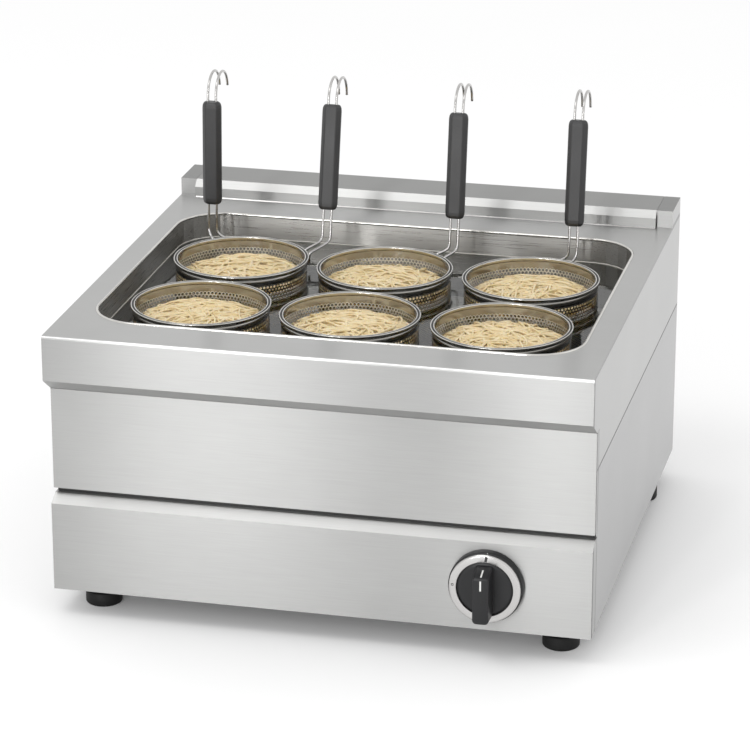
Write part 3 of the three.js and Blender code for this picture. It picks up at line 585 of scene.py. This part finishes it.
def knobBase(s):
    outer, depth = s["skirtRadius"], s["skirtDepth"]
    corners = [(s["bore"], s["gap"]), (outer, s["gap"]), (outer, depth), (s["bore"], depth)]
    return turnedMesh(roundedProfile(corners, s["skirtEdge"]), s["segments"])


def knobBezel(s):
    low, high = ringLevels(s)
    inner, outer = s["faceRadius"], s["ringRadius"]
    inset, drop = s["ringSlope"]
    corners = [(inner, low), (outer, low), (outer, high - drop), (outer - inset, high),
               (inner + s["ringStep"], high), (inner, high - s["ringStep"])]
    return turnedMesh(roundedProfile(corners, s["ringEdge"], 3), s["segments"])


def knobDisc(s):
    low, high = ringLevels(s)
    radius, edge = s["faceRadius"] - s["gap"], s["faceEdge"]
    disc = [(0, low), (radius - edge, low), (radius, low + edge)]
    disc += [(radius - inset, high - drop) for inset, drop in s["faceDrops"]]
    disc.append((0, high - s["faceDrops"][-1][1]))
    return turnedMesh(disc, s["segments"], closed=False)


def gripBar(s):
    # outlines from the foot of the bar to its front; the pointer end slopes back to the disc
    high = ringLevels(s)[1]
    up, down, top, front = s["barUp"], s["barDown"], s["barTop"], s["barFront"]
    inside = math.sqrt((s["faceRadius"] - s["barInset"]) ** 2 - (s["barWidth"] / 2) ** 2)
    # height, share of the width, reach up, reach down, rounding of the upper corners
    levels = [(high - 0.003, 1.0, up, inside, 0.0022),
              (high + 0.0003, 1.0, up, inside, 0.0022),
              (high + 0.0009, 1.0, up - 0.0003, down - 0.0008, 0.0024),
              (high + 0.003, 0.995, up - 0.0009, down, 0.0024),
              (front - 0.0016, 0.94, top + 0.0008, down - 0.0002, 0.0024),
              (front - 0.0005, 0.925, top - 0.0001, down - 0.0008, 0.0024),
              (front, 0.87, top - 0.0008, down - 0.0018, 0.0024)]
    lowerPoints, upperPoints = s["lowerSteps"] + 1, s["upperSteps"] + 1      # at one corner
    outlines = []
    for z, share, reachUp, reachDown, corner in levels:
        w = s["barWidth"] / 2 * share
        lower = [(-w, -reachDown), (w, -reachDown), (w, 0), (-w, 0)]
        upper = [(w, 0), (w, reachUp), (-w, reachUp), (-w, 0)]
        lower = roundedProfile(lower, s["barCorner"], s["lowerSteps"])
        upper = roundedProfile(upper, corner, s["upperSteps"])
        outline = lower[:2 * lowerPoints] + upper[upperPoints:3 * upperPoints]
        outlines.append([Vector((x, y, z)) for x, y in outline])
    return loftMesh(outlines)


def makeKnob(s):
    base, ring = facing(knobBase(s)), facing(knobBezel(s))
    cap = facing(joined([knobDisc(s), gripBar(s)]))
    addPiece("knob_base", base, blackPlastic, "housing", replaced=["knob_skirt"])
    addPiece("knob_bezel", ring, ringSteel, "knob", replaced=["knob_ring"])
    addPiece("knob_grip", cap, blackPlastic, "knob", replaced=["knob_cap"])


# marks on the knob, in knob axes: x right, y up
markSettings = {
    "thickness": 0.0003, "sink": 0.0001, "lineWidth": 0.0016, "lineLength": 0.0112, "lineDrop": 0.0022,
    "grooveWidth": 0.0030, "grooveEdge": 0.0008,
    "tick": ((0.0010, 0.0318), (0.0022, 0.0376)), "tickWidth": 0.0028,
    "squareTurn": 176, "squareReach": 0.0014, "squareLine": 0.0006,
    "dotX": 0.0022, "dotInset": 0.0006, "dotRadius": 0.0004, "dotPoints": 20,
}
slopeSettings = {"halfWidth": 0.0008, "browUp": 0.0010, "browDepth": 0.0014, "rootDown": 0.0009,
                 "rootRise": 0.0035, "start": 0.0012, "end": 0.004, "lifts": (-0.0002, 0.00025)}


def addMark(name, shape, material, body):
    addPiece(name, facing(shape), material, body, smooth=False)


def flatMark(name, outline, depth, material, body="knob", thickness=markSettings["thickness"]):
    # depth is the distance in front of the panel
    levels = (depth, depth + thickness)
    addMark(name, loftMesh([[Vector((x, y, z)) for x, y in outline] for z in levels]), material, body)


def strip(first, last, width):
    # a straight stroke between two points, as an outline
    start, end = Vector(first), Vector(last)
    along = (end - start).normalized()
    across = Vector((-along.y, along.x)) * width / 2
    return [start - across, end - across, end + across, start + across]


def slopeMark(s, m):
    # the stroke on the sloping end of the bar runs from its brow down to the disc
    brow = Vector((0, s["barTop"] + m["browUp"], s["barFront"] - m["browDepth"]))
    root = Vector((0, s["barUp"] - m["rootDown"], ringLevels(s)[1] + m["rootRise"]))
    along = (root - brow).normalized()
    out = (Vector((0, 1, 0)) - along * along.y).normalized()
    half = Vector((m["halfWidth"], 0, 0))
    first, last = brow + along * m["start"], brow + along * ((root - brow).length - m["end"])
    outline = [first - half, first + half, last + half, last - half]
    shape = loftMesh([[point + out * lift for point in outline] for lift in m["lifts"]])
    addMark("pointer_slope_line", shape, markPaint, "knob")


def squareMark(s, m):
    # small open square on the ring, one stroke for each side
    radius = (s["faceRadius"] + s["ringRadius"]) / 2
    centre = onCircle(radius, math.radians(m["squareTurn"]), 0)
    corners = [centre + onCircle(m["squareReach"], math.radians(45 + 90 * k), 0) for k in range(5)]
    for k in range(4):
        outline = strip(corners[k].xy, corners[k + 1].xy, m["squareLine"])
        flatMark("ring_square_" + str(k + 1), outline, ringLevels(s)[1] - m["sink"], inkPaint)


def makeMarks(s, m):
    front, onRing = s["barFront"], ringLevels(s)[1] - m["sink"]
    top = s["barTop"] - m["lineDrop"]
    foot = top - m["lineLength"]
    groove = strip((0, top + m["grooveEdge"]), (0, foot - m["grooveEdge"]), m["grooveWidth"])
    flatMark("pointer_groove", groove, front - m["sink"], inkPaint, thickness=2 * m["sink"])
    flatMark("pointer_line", strip((0, top), (0, foot), m["lineWidth"]), front, markPaint)
    flatMark("ring_tick", strip(*m["tick"], m["tickWidth"]), onRing, inkPaint)
    slopeMark(s, slopeSettings)
    squareMark(s, m)
    centre = Vector((m["dotX"], s["skirtRadius"] - m["dotInset"]))
    turns = [2 * math.pi * k / m["dotPoints"] for k in range(m["dotPoints"])]
    dot = [centre + onCircle(m["dotRadius"], turn, 0).xy for turn in turns]
    flatMark("skirt_dot", dot, s["skirtDepth"] - m["sink"], markPaint, "housing")


makeKnob(knobSettings)
makeMarks(knobSettings, markSettings)
print("knob made")

# baskets
basketSettings = {
    "rimRadius": 0.078, "rimWire": 0.005, "bead": 0.0008, "beadSteps": 8, "groove": 0.0003,
    "grooveDepth": 0.0004,
    "height": 0.172, "corner": 0.009, "cornerSteps": 5, "band": 0.0074, "bandRows": (0, 0.004, 0.008),
    "bandStart": 0.6,      # share of the rim's thickness
    "columns": 112, "holeShare": 0.67, "floorRings": 14, "slotWidth": 3,
    "skinRows": 8, "skinGap": 0.0002, "segments": 120,
    "sleeveStart": 0.7, "sleeveGap": 0.0001, "sleeve": 0.0004, "sleeveEnd": 0.0006,
}
# corners of a cell: half columns across and sides up
cellCorners = ((1, -0.5), (1, 0.5), (0, 1), (-1, 0.5), (-1, -0.5), (0, -1))
cellSides = len(cellCorners)


def startShell(s):
    # measures of the honeycomb of open cells round the wall, and the mesh that grows on them
    radius = s["rimRadius"] - s["rimWire"] / 2
    pitch = 2 * math.pi * radius / s["columns"]
    side, step = pitch / math.sqrt(3), pitch * math.sqrt(3) / 2
    high, low = -s["rimWire"] - s["band"], s["corner"] - s["height"]
    return {"radius": radius, "columns": s["columns"], "side": side, "step": step, "top": high - side,
            "rows": int((high - low - pitch) / step), "vertices": [], "faces": [], "known": {}}


def wallCorner(shell, halfColumns, z):
    # a corner that neighbouring cells share
    key = (halfColumns % (2 * shell["columns"]), round(z * 1e7))
    if key not in shell["known"]:
        shell["known"][key] = len(shell["vertices"])
        shell["vertices"].append(onCircle(shell["radius"], math.pi * halfColumns / shell["columns"], z))
    return shell["known"][key]


def addCell(shell, halfColumn, z, holeShare):
    # a hexagonal frame round an open hexagon
    side, radius = shell["side"], shell["radius"]
    outer = [wallCorner(shell, halfColumn + across, z + side * rise) for across, rise in cellCorners]
    start = len(shell["vertices"])
    for k in range(cellSides):
        angle = math.radians(60 * k - 30)
        turn = math.pi * halfColumn / shell["columns"] + side * holeShare * math.cos(angle) / radius
        shell["vertices"].append(onCircle(radius, turn, z + side * holeShare * math.sin(angle)))
    for k in range(cellSides):
        n = (k + 1) % cellSides
        shell["faces"].append((outer[k], outer[n], start + n, start + k))


def cellEdge(shell, z, direction, parity):
    # zigzag along a row of cells, above it with direction 1 and below it with -1
    reach = shell["side"] * direction
    columns = range(2 * shell["columns"])
    return [wallCorner(shell, h, z + (reach if h % 2 == parity else reach / 2)) for h in columns]


def addRing(shell, radius, z):
    start, count = len(shell["vertices"]), 2 * shell["columns"]
    shell["vertices"] += [onCircle(radius, math.pi * h / shell["columns"], z) for h in range(count)]
    return list(range(start, start + count))


def joinRows(shell, upper, lower, slotWidth=0):
    # strip of faces between two rows of corners, with slots where slotWidth says so
    count = len(upper)
    for h in range(count):
        if slotWidth and (h // slotWidth) % 2 == 0:
            continue
        n = (h + 1) % count
        shell["faces"].append((lower[h], lower[n], upper[n], upper[h]))


def addBand(shell, s):
    # plain band above the first row of cells
    rows = []
    for drop in s["bandRows"]:
        z = -s["rimWire"] * s["bandStart"] - drop
        rows.append([wallCorner(shell, h, z) for h in range(2 * s["columns"])])
    rows.append(cellEdge(shell, shell["top"], 1, 0))
    for upper, lower in zip(rows, rows[1:]):
        joinRows(shell, upper, lower)


def addFloor(shell, s):
    # rounded bottom corner, then rings to the middle of the floor, every second one slotted
    lastRow = shell["rows"] - 1
    upper = cellEdge(shell, shell["top"] - lastRow * shell["step"], -1, lastRow % 2)
    for k in range(s["cornerSteps"] + 1):
        angle = math.radians(90 * k / s["cornerSteps"])
        radius = shell["radius"] - s["corner"] * (1 - math.cos(angle))
        ring = addRing(shell, radius, -s["height"] + s["corner"] * (1 - math.sin(angle)))
        joinRows(shell, upper, ring)
        upper = ring
    for k in range(1, s["floorRings"]):
        ring = addRing(shell, (shell["radius"] - s["corner"]) * (1 - k / s["floorRings"]), -s["height"])
        joinRows(shell, upper, ring, s["slotWidth"] if k % 2 == 0 else 0)
        upper = ring
    centre = len(shell["vertices"])
    shell["vertices"].append(Vector((0, 0, -s["height"])))
    shell["faces"] += [(centre, upper[(h + 1) % len(upper)], upper[h]) for h in range(len(upper))]


def basketShell(s):
    shell = startShell(s)
    for row in range(shell["rows"]):
        for column in range(s["columns"]):
            addCell(shell, 2 * column + row % 2, shell["top"] - row * shell["step"], s["holeShare"])
    shell["netFaces"] = len(shell["faces"])
    shell["skinned"] = s["skinRows"] * s["columns"] * cellSides
    addBand(shell, s)
    addFloor(shell, s)
    return shell


def outerSkin(shell, s):
    # the upper rows of the net again, a hair further out, in dark steel as painted shade on the outside
    faces = shell["faces"][:shell["skinned"]]
    kept = sorted({v for face in faces for v in face})
    place = {v: k for k, v in enumerate(kept)}
    share = 1 + s["skinGap"] / shell["radius"]
    spread = Vector((share, share, 1))
    return [shell["vertices"][v] * spread for v in kept], [tuple(place[v] for v in face) for face in faces]


def outerBand(s):
    # thin dark sleeve outside the plain band, painted shade from the dark well it faces
    inside = s["rimRadius"] - s["rimWire"] / 2 + s["sleeveGap"]
    outside = inside + s["sleeve"]
    high, low = -s["rimWire"] * s["sleeveStart"], -s["rimWire"] - s["band"] + s["sleeveEnd"]
    return turnedMesh([(inside, low), (outside, low), (outside, high), (inside, high)], s["segments"])


def rimRing(s):
    # two beads on a rounded underside, as rolled sheet shows them
    bead, wide = s["bead"], s["rimWire"]
    outer, inner = s["rimRadius"] - bead, s["rimRadius"] - wide + bead
    turns = [math.radians(180 * k / s["beadSteps"]) for k in range(s["beadSteps"] + 1)]
    profile = []
    for centre in (outer, inner):
        profile += [(centre + bead * math.cos(a), -bead + bead * math.sin(a)) for a in turns]
    centre, low = s["rimRadius"] - wide / 2, wide - bead
    profile += [(centre - wide / 2 * math.cos(a), -bead - low * math.sin(a)) for a in turns[1:-1]]
    return turnedMesh(profile, s["segments"])


# dark strip in the groove between the rim's beads, painted shade
def rimGroove(s):
    outer, inner = s["rimRadius"] - s["bead"], s["rimRadius"] - s["rimWire"] + s["bead"]
    top = -s["groove"]
    low = top - s["grooveDepth"]
    return turnedMesh([(outer, top), (inner, top), (inner, low), (outer, low)], s["segments"])


def basketPlace(name):
    # middle of the rim, at its top
    node = "basket_rim_" + name
    centre = middle(node)
    return Vector((centre.x, centre.y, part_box(node)[1][2]))


shellParts = basketShell(basketSettings)
rimShape = rimRing(basketSettings)
plainParts = [
    ("band", outerBand(basketSettings), steelShadedBand),
    ("skin", outerSkin(shellParts, basketSettings), steelShadedNet),
    ("groove", rimGroove(basketSettings), steelPaintedShade),
]


def makeBasket(name):
    shift, body = basketPlace(name), "basket_" + name + "_body"
    shell = addPiece("basket_shell_" + name, (shellParts["vertices"], shellParts["faces"]), steelBasket, body,
                     replaced=["basket_" + name], shift=shift)
    shell.data.materials.append(steelLitNet)
    shell.data.materials.append(steelShadedNet)
    # upper net rows take the bright copy as painted light, the lower rows the dark copy as painted shade
    for face in shell.data.polygons[:shellParts["netFaces"]]:
        face.material_index = 1 if face.index < shellParts["skinned"] else 2
    for part, shape, finish in plainParts:
        addPiece("basket_" + part + "_" + name, shape, finish, body, shift=shift)
    addPiece("basket_ring_" + name, rimShape, steelPolished, body,
             replaced=["basket_rim_" + name], shift=shift)


for basketName in basketNames:
    makeBasket(basketName)
print("baskets made")

# noodles
noodleSettings = {
    "radius": 0.0720, "edgeDrop": 0.0243, "crown": 0.0093, "crownPower": 2.2,
    "floor": 0.170, "side": 0.0750, "footInset": 0.01, "footRise": 0.008, "sideDrop": 0.004,
    "lumpDrop": 0.0022, "lumpSteps": 8, "lumpSegments": 72,
    "strands": 300, "strandRadius": 0.00135, "thickness": (0.85, 1.1), "sides": 6,
    "steps": 16, "smoothing": 2,
    "flow": 0.75, "curl": 16, "stride": (0.0040, 0.0062), "spread": 0.93, "wallGap": 0.0022,
    "swerve": 1.0, "wobble": 0.12, "waveHeight": 0.0011, "waveStep": 0.7, "waveStart": 6.28,
    "endSteps": 3, "endShare": 0.18, "endDrop": 0.001,
    "firstLayer": -0.0012, "layers": 0.0066, "layerSpread": (0.55, 1.0), "firstSeed": 40,
}


def domeHeight(r, s):
    share = min(1, r / s["radius"])
    return -s["edgeDrop"] + s["crown"] * (1 - share ** s["crownPower"])


def strandPoints(draw, s, layer):
    heading = draw.gauss(0, s["flow"]) + math.pi * draw.randint(0, 1)
    distance = s["radius"] * math.sqrt(draw.random()) * s["spread"]
    turn = draw.uniform(0, 2 * math.pi)
    x, y = distance * math.cos(turn), distance * math.sin(turn)
    curl = draw.gauss(0, s["curl"])
    stride = draw.uniform(*s["stride"])
    wave = draw.uniform(0, s["waveStart"])
    limit = s["radius"] - s["wallGap"]
    points = []
    for k in range(s["steps"]):
        r = math.hypot(x, y)
        if r > limit:
            x, y = x * limit / r, y * limit / r
            heading = math.atan2(-y, -x) + draw.uniform(-s["swerve"], s["swerve"])
        stepsOver = max(0, s["endSteps"] - min(k, s["steps"] - 1 - k))
        held = 1 - stepsOver * s["endShare"]      # the ends of a strand sink in
        lift = s["waveHeight"] * math.sin(k * s["waveStep"] + wave) + layer
        z = domeHeight(math.hypot(x, y), s) + lift * held - s["endDrop"] * (1 - held)
        points.append(Vector((x, y, z)))
        heading += curl * stride + draw.uniform(-s["wobble"], s["wobble"])
        x += stride * math.cos(heading)
        y += stride * math.sin(heading)
    return smoothPath(points, s["smoothing"])


def smoothPath(points, passes):
    for count in range(passes):
        inner = [(a + b * 2 + c) / 4 for a, b, c in zip(points, points[1:], points[2:])]
        points = [points[0]] + inner + [points[-1]]
    return points


def noodleCore(s):
    # dark golden lump under the strands, darker as painted shade between them
    side, floor = s["side"], -s["floor"]
    profile = [(0, floor), (side - s["footInset"], floor), (side, floor + s["footRise"]),
               (side, -s["edgeDrop"] - s["sideDrop"])]
    for k in range(s["lumpSteps"] + 1):
        r = s["radius"] * (1 - k / s["lumpSteps"])
        profile.append((r, domeHeight(r, s) - s["lumpDrop"]))
    return turnedMesh(profile, s["lumpSegments"], closed=False)


def noodleStrands(seed, s):
    draw = random.Random(seed)
    strands = []
    for i in range(s["strands"]):
        layer = s["firstLayer"] + s["layers"] * (i / s["strands"]) * draw.uniform(*s["layerSpread"])
        path = strandPoints(draw, s, layer)
        strands.append(tubeMesh(path, s["strandRadius"] * draw.uniform(*s["thickness"]), s["sides"]))
    return joined(strands)


def makeNoodles(name, seed, s):
    shift, body = basketPlace(name), "basket_" + name + "_body"
    addPiece("noodle_strands_" + name, noodleStrands(seed, s), noodlePaste, body,
             replaced=["noodles_" + name], shift=shift)
    lump = addPiece("noodle_core_" + name, noodleCore(s), noodlePaintedShade, body, shift=shift)
    lump.data.materials.append(noodlePaintedLight)
    # the lump's wall seen through the holes takes the lighter paste, painted light
    for face in lump.data.polygons:
        if abs(face.normal.z) < 0.5:      # upright faces
            face.material_index = 1


for index, basketName in enumerate(basketNames):
    makeNoodles(basketName, noodleSettings["firstSeed"] + index, noodleSettings)
print("noodles made")

# handles, on the same routes as the frame's wires
handleSettings = {
    "wire": 0.0015, "wireSides": 12, "spacing": 0.0095, "splay": 0.015, "weld": 0.016, "weldGap": 0.0003,
    "weldReach": 0.0035, "kneeLift": 0.003, "kneeReach": 0.007, "bendSteps": 6, "straight": 0.0054,
    "straightSteps": 6, "hookRadius": 0.025, "hookTurn": 172, "hookSteps": 24,
    "gripLength": 0.122, "gripWidth": 0.0225, "gripDepth": 0.013, "gripBase": 0.033, "gripCut": 0.0045,
    "gripEdge": 0.0012, "gripEnds": ((0, 0.72), (0.0012, 0.86), (0.0035, 0.96), (0.007, 1.0)),
}
handlePlans = {
    "a": {"basket": "back_left", "x": -0.223, "setback": 0.403, "lean": 2, "turn": 124},
    "b": {"basket": "back_left", "x": -0.0865, "setback": 0.411, "lean": 12, "turn": 32},
    "c": {"basket": "back_middle", "x": 0.0645, "setback": 0.411, "lean": 9, "turn": 50},
    "d": {"basket": "back_right", "x": 0.2035, "setback": 0.414, "lean": 8, "turn": 71},
}


def leanAxes(lean):
    # the way the grip points, and the way its hooks bend back
    tilt = math.radians(lean)
    return Vector((0, math.sin(tilt), math.cos(tilt))), Vector((0, math.cos(tilt), -math.sin(tilt)))


def wireRoute(plan, side, s):
    # from the weld on the basket up to the grip, through it and round the hook
    rim, rimRadius = basketPlace(plan["basket"]), basketSettings["rimRadius"]
    weldRadius = rimRadius + s["wire"] + s["weldGap"]
    angle = math.radians(plan["turn"]) - side * s["splay"] / 2 / rimRadius
    foot = rim + onCircle(weldRadius, angle, -s["weld"])
    collar = rim + onCircle(weldRadius, angle, -basketSettings["rimWire"] / 2)
    up, back = leanAxes(plan["lean"])
    grip = Vector((plan["x"] + side * s["spacing"] / 2, bandY + plan["setback"], topZ + s["gripBase"]))
    knee = grip + up * ((rim.z + s["kneeLift"] - grip.z) / up.z)
    route = [foot] + bend(foot, collar, knee, s["weldReach"], s["bendSteps"])
    route += bend(collar, knee, grip, s["kneeReach"], s["bendSteps"]) + [grip]
    reach, steps = s["gripLength"] + s["straight"], s["straightSteps"]
    route += [grip + up * reach * k / steps for k in range(1, steps)]
    for k in range(s["hookSteps"] + 1):
        turned = math.radians(s["hookTurn"] * k / s["hookSteps"])
        rise = reach + s["hookRadius"] * math.sin(turned)
        route.append(grip + up * rise + back * s["hookRadius"] * (1 - math.cos(turned)))
    return route


def gripMesh(plan, s):
    up, back = leanAxes(plan["lean"])
    base = Vector((plan["x"], bandY + plan["setback"], topZ + s["gripBase"]))
    length = s["gripLength"]
    levels = [*s["gripEnds"], (length / 2, 1.0)]
    levels += [(length - z, share) for z, share in reversed(s["gripEnds"])]
    outlines = []
    for z, share in levels:
        w, d, cut = s["gripWidth"] / 2 * share, s["gripDepth"] / 2 * share, s["gripCut"] * share
        corners = [(-w + cut, -d), (w - cut, -d), (w, -d + cut), (w, d - cut),
                   (w - cut, d), (-w + cut, d), (-w, d - cut), (-w, -d + cut)]
        outline = roundedProfile(corners, s["gripEdge"], 2)
        outlines.append([base + Vector((a, 0, 0)) + back * b + up * z for a, b in outline])
    return loftMesh(outlines)


def makeHandle(name, plan, s):
    body = "basket_" + plan["basket"] + "_body"
    wires = joined([tubeMesh(wireRoute(plan, side, s), s["wire"], s["wireSides"]) for side in (-1, 1)])
    addPiece("hook_wires_" + name, wires, steelWire, body, replaced=["handle_wire_" + name])
    addPiece("grip_" + name, gripMesh(plan, s), gripPlastic, body, smooth=False,
             replaced=["handle_grip_" + name])


for handleName, handlePlan in handlePlans.items():
    makeHandle(handleName, handlePlan, handleSettings)
print("handles made")

# rolled lip of the well, and the water in it
wellSettings = {"flange": 0.014, "corner": 0.055, "cornerSteps": 16, "lipCentre": 0.0007, "lipRadius": 0.0018,
                "lipRise": -0.0003, "lipSides": 14, "waterDrop": 0.0285, "waterInset": 0.0004,
                "edgeWidth": 0.0010, "edgeHeight": 0.0012, "edgeSink": 0.0001}


def wellOutline(outset, z, s):
    # outset is measured outward from the inside of the walls
    low, high = wellBox
    reach = s["corner"] + outset
    x = high[0] - s["flange"] + outset - reach
    nearY, farY = low[1] + s["flange"] - outset + reach, high[1] - s["flange"] + outset - reach
    outline = []
    for centreX, centreY, start in ((x, farY, 0), (-x, farY, 90), (-x, nearY, 180), (x, nearY, 270)):
        centre = Vector((centreX, centreY, 0))
        turns = [math.radians(start + 90 * k / s["cornerSteps"]) for k in range(s["cornerSteps"] + 1)]
        outline += [centre + onCircle(reach, turn, z) for turn in turns]
    return outline


def wellRing(profile, s):
    # profile of (outset, height) swept round the well
    return loftMesh([wellOutline(outset, z, s) for outset, z in profile], wrap=True)


def makeLip(s):
    turns = [2 * math.pi * k / s["lipSides"] for k in range(s["lipSides"])]
    x, z, r = s["lipCentre"], topZ + s["lipRise"], s["lipRadius"]
    profile = [(x + r * math.cos(a), z + r * math.sin(a)) for a in turns]
    addPiece("well_lip", wellRing(profile, s), steelPolished, "housing")


def makeWater(s):
    z, outset = topZ - s["waterDrop"], -s["waterInset"]
    surface = wellOutline(outset, z, s)
    face = tuple(range(len(surface)))
    addPiece("water_surface", (surface, [face]), waterLook, "housing", smooth=False)
    # pale strip round the wall at the waterline as a painted highlight
    foot = z - s["edgeSink"]
    edge = [(outset, foot), (outset, z + s["edgeHeight"]), (outset - s["edgeWidth"], foot)]
    addPiece("painted_waterline_highlight", wellRing(edge, s), waterlineHighlight, "housing")


makeLip(wellSettings)
makeWater(wellSettings)
print("water made")

# floor, backdrop and light
floorSettings = {"reach": 12, "grey": 0.885, "lighter": 1.01, "cloudScale": 1.5, "rough": 0.9, "fill": 0.08}
worldSettings = {"light": 0.96, "seen": 1}
# place, target, width and height, power
lampSettings = {
    "key_lamp": ((-0.8, -1.3, 3.0), (0, 0, 0.2), (1.8, 1.0), 15.0),
    "broad_strip": ((-0.92, -3.2, 1.25), (-0.09, -0.28, 1.25), (0.40, 2.4), 20.0),
    "narrow_strip": ((-0.224, -3.2, 1.25), (0.28, -0.28, 1.25), (0.14, 2.4), 14.0),
    "right_lamp": ((2.2, 0.3, 1.8), (0.6, 0.2, 0), (1.4, 1.4), 3.0),
}


def seenDirectly(tree, kinds):
    # 1 for the kinds of ray that show the stage itself, 0 for those that only carry its light
    path = addNode(tree, "ShaderNodeLightPath", {})
    seen = path.outputs["Is Camera Ray"]
    for kind in kinds:
        seen = compute(tree, "MAXIMUM", seen, path.outputs[kind])
    return seen


def makeFloor(s):
    mesh = bpy.data.meshes.new("floor")
    r = s["reach"]
    mesh.from_pydata([(-r, -r, 0), (r, -r, 0), (r, r, 0), (-r, r, 0)], [], [(0, 1, 2, 3)])
    floor = addObject("floor", mesh)
    material, tree, shader = newMaterial("floor_paint")
    cloud = noise(tree, scale=s["cloudScale"], detail=2.0)
    feed(tree, shader, {
        "Base Color": mixColour(tree, cloud, (s["grey"],) * 3, (s["grey"] * s["lighter"],) * 3),
        "Roughness": s["rough"], "Specular IOR Level": 0, "Emission Color": (1, 1, 1, 1),
        "Emission Strength": compute(tree, "MULTIPLY", seenDirectly(tree, ["Is Glossy Ray"]), s["fill"])})
    mesh.materials.append(material)


def makeWorld(s):
    world = bpy.data.worlds.new("studio")
    bpy.context.scene.world = world
    world.use_nodes = True
    tree = world.node_tree
    tree.nodes.clear()
    seen = seenDirectly(tree, ["Is Glossy Ray", "Is Transmission Ray"])
    inputs = {"Color": (1, 1, 1, 1), "Strength": remap(tree, seen, s["light"], s["seen"], 0, 1)}
    back = addNode(tree, "ShaderNodeBackground", inputs).outputs[0]
    addNode(tree, "ShaderNodeOutputWorld", {"Surface": back})


def makeLamp(name, place, target, size, power):
    data = bpy.data.lights.new(name, "AREA")
    data.shape = "RECTANGLE"
    data.size, data.size_y = size
    data.energy = power
    lamp = addObject(name, data)
    lamp.location = place
    lamp.rotation_euler = aimAt(place, target)


makeFloor(floorSettings)
makeWorld(worldSettings)
for lampName, settings in lampSettings.items():
    makeLamp(lampName, *settings)
print("stage ready")
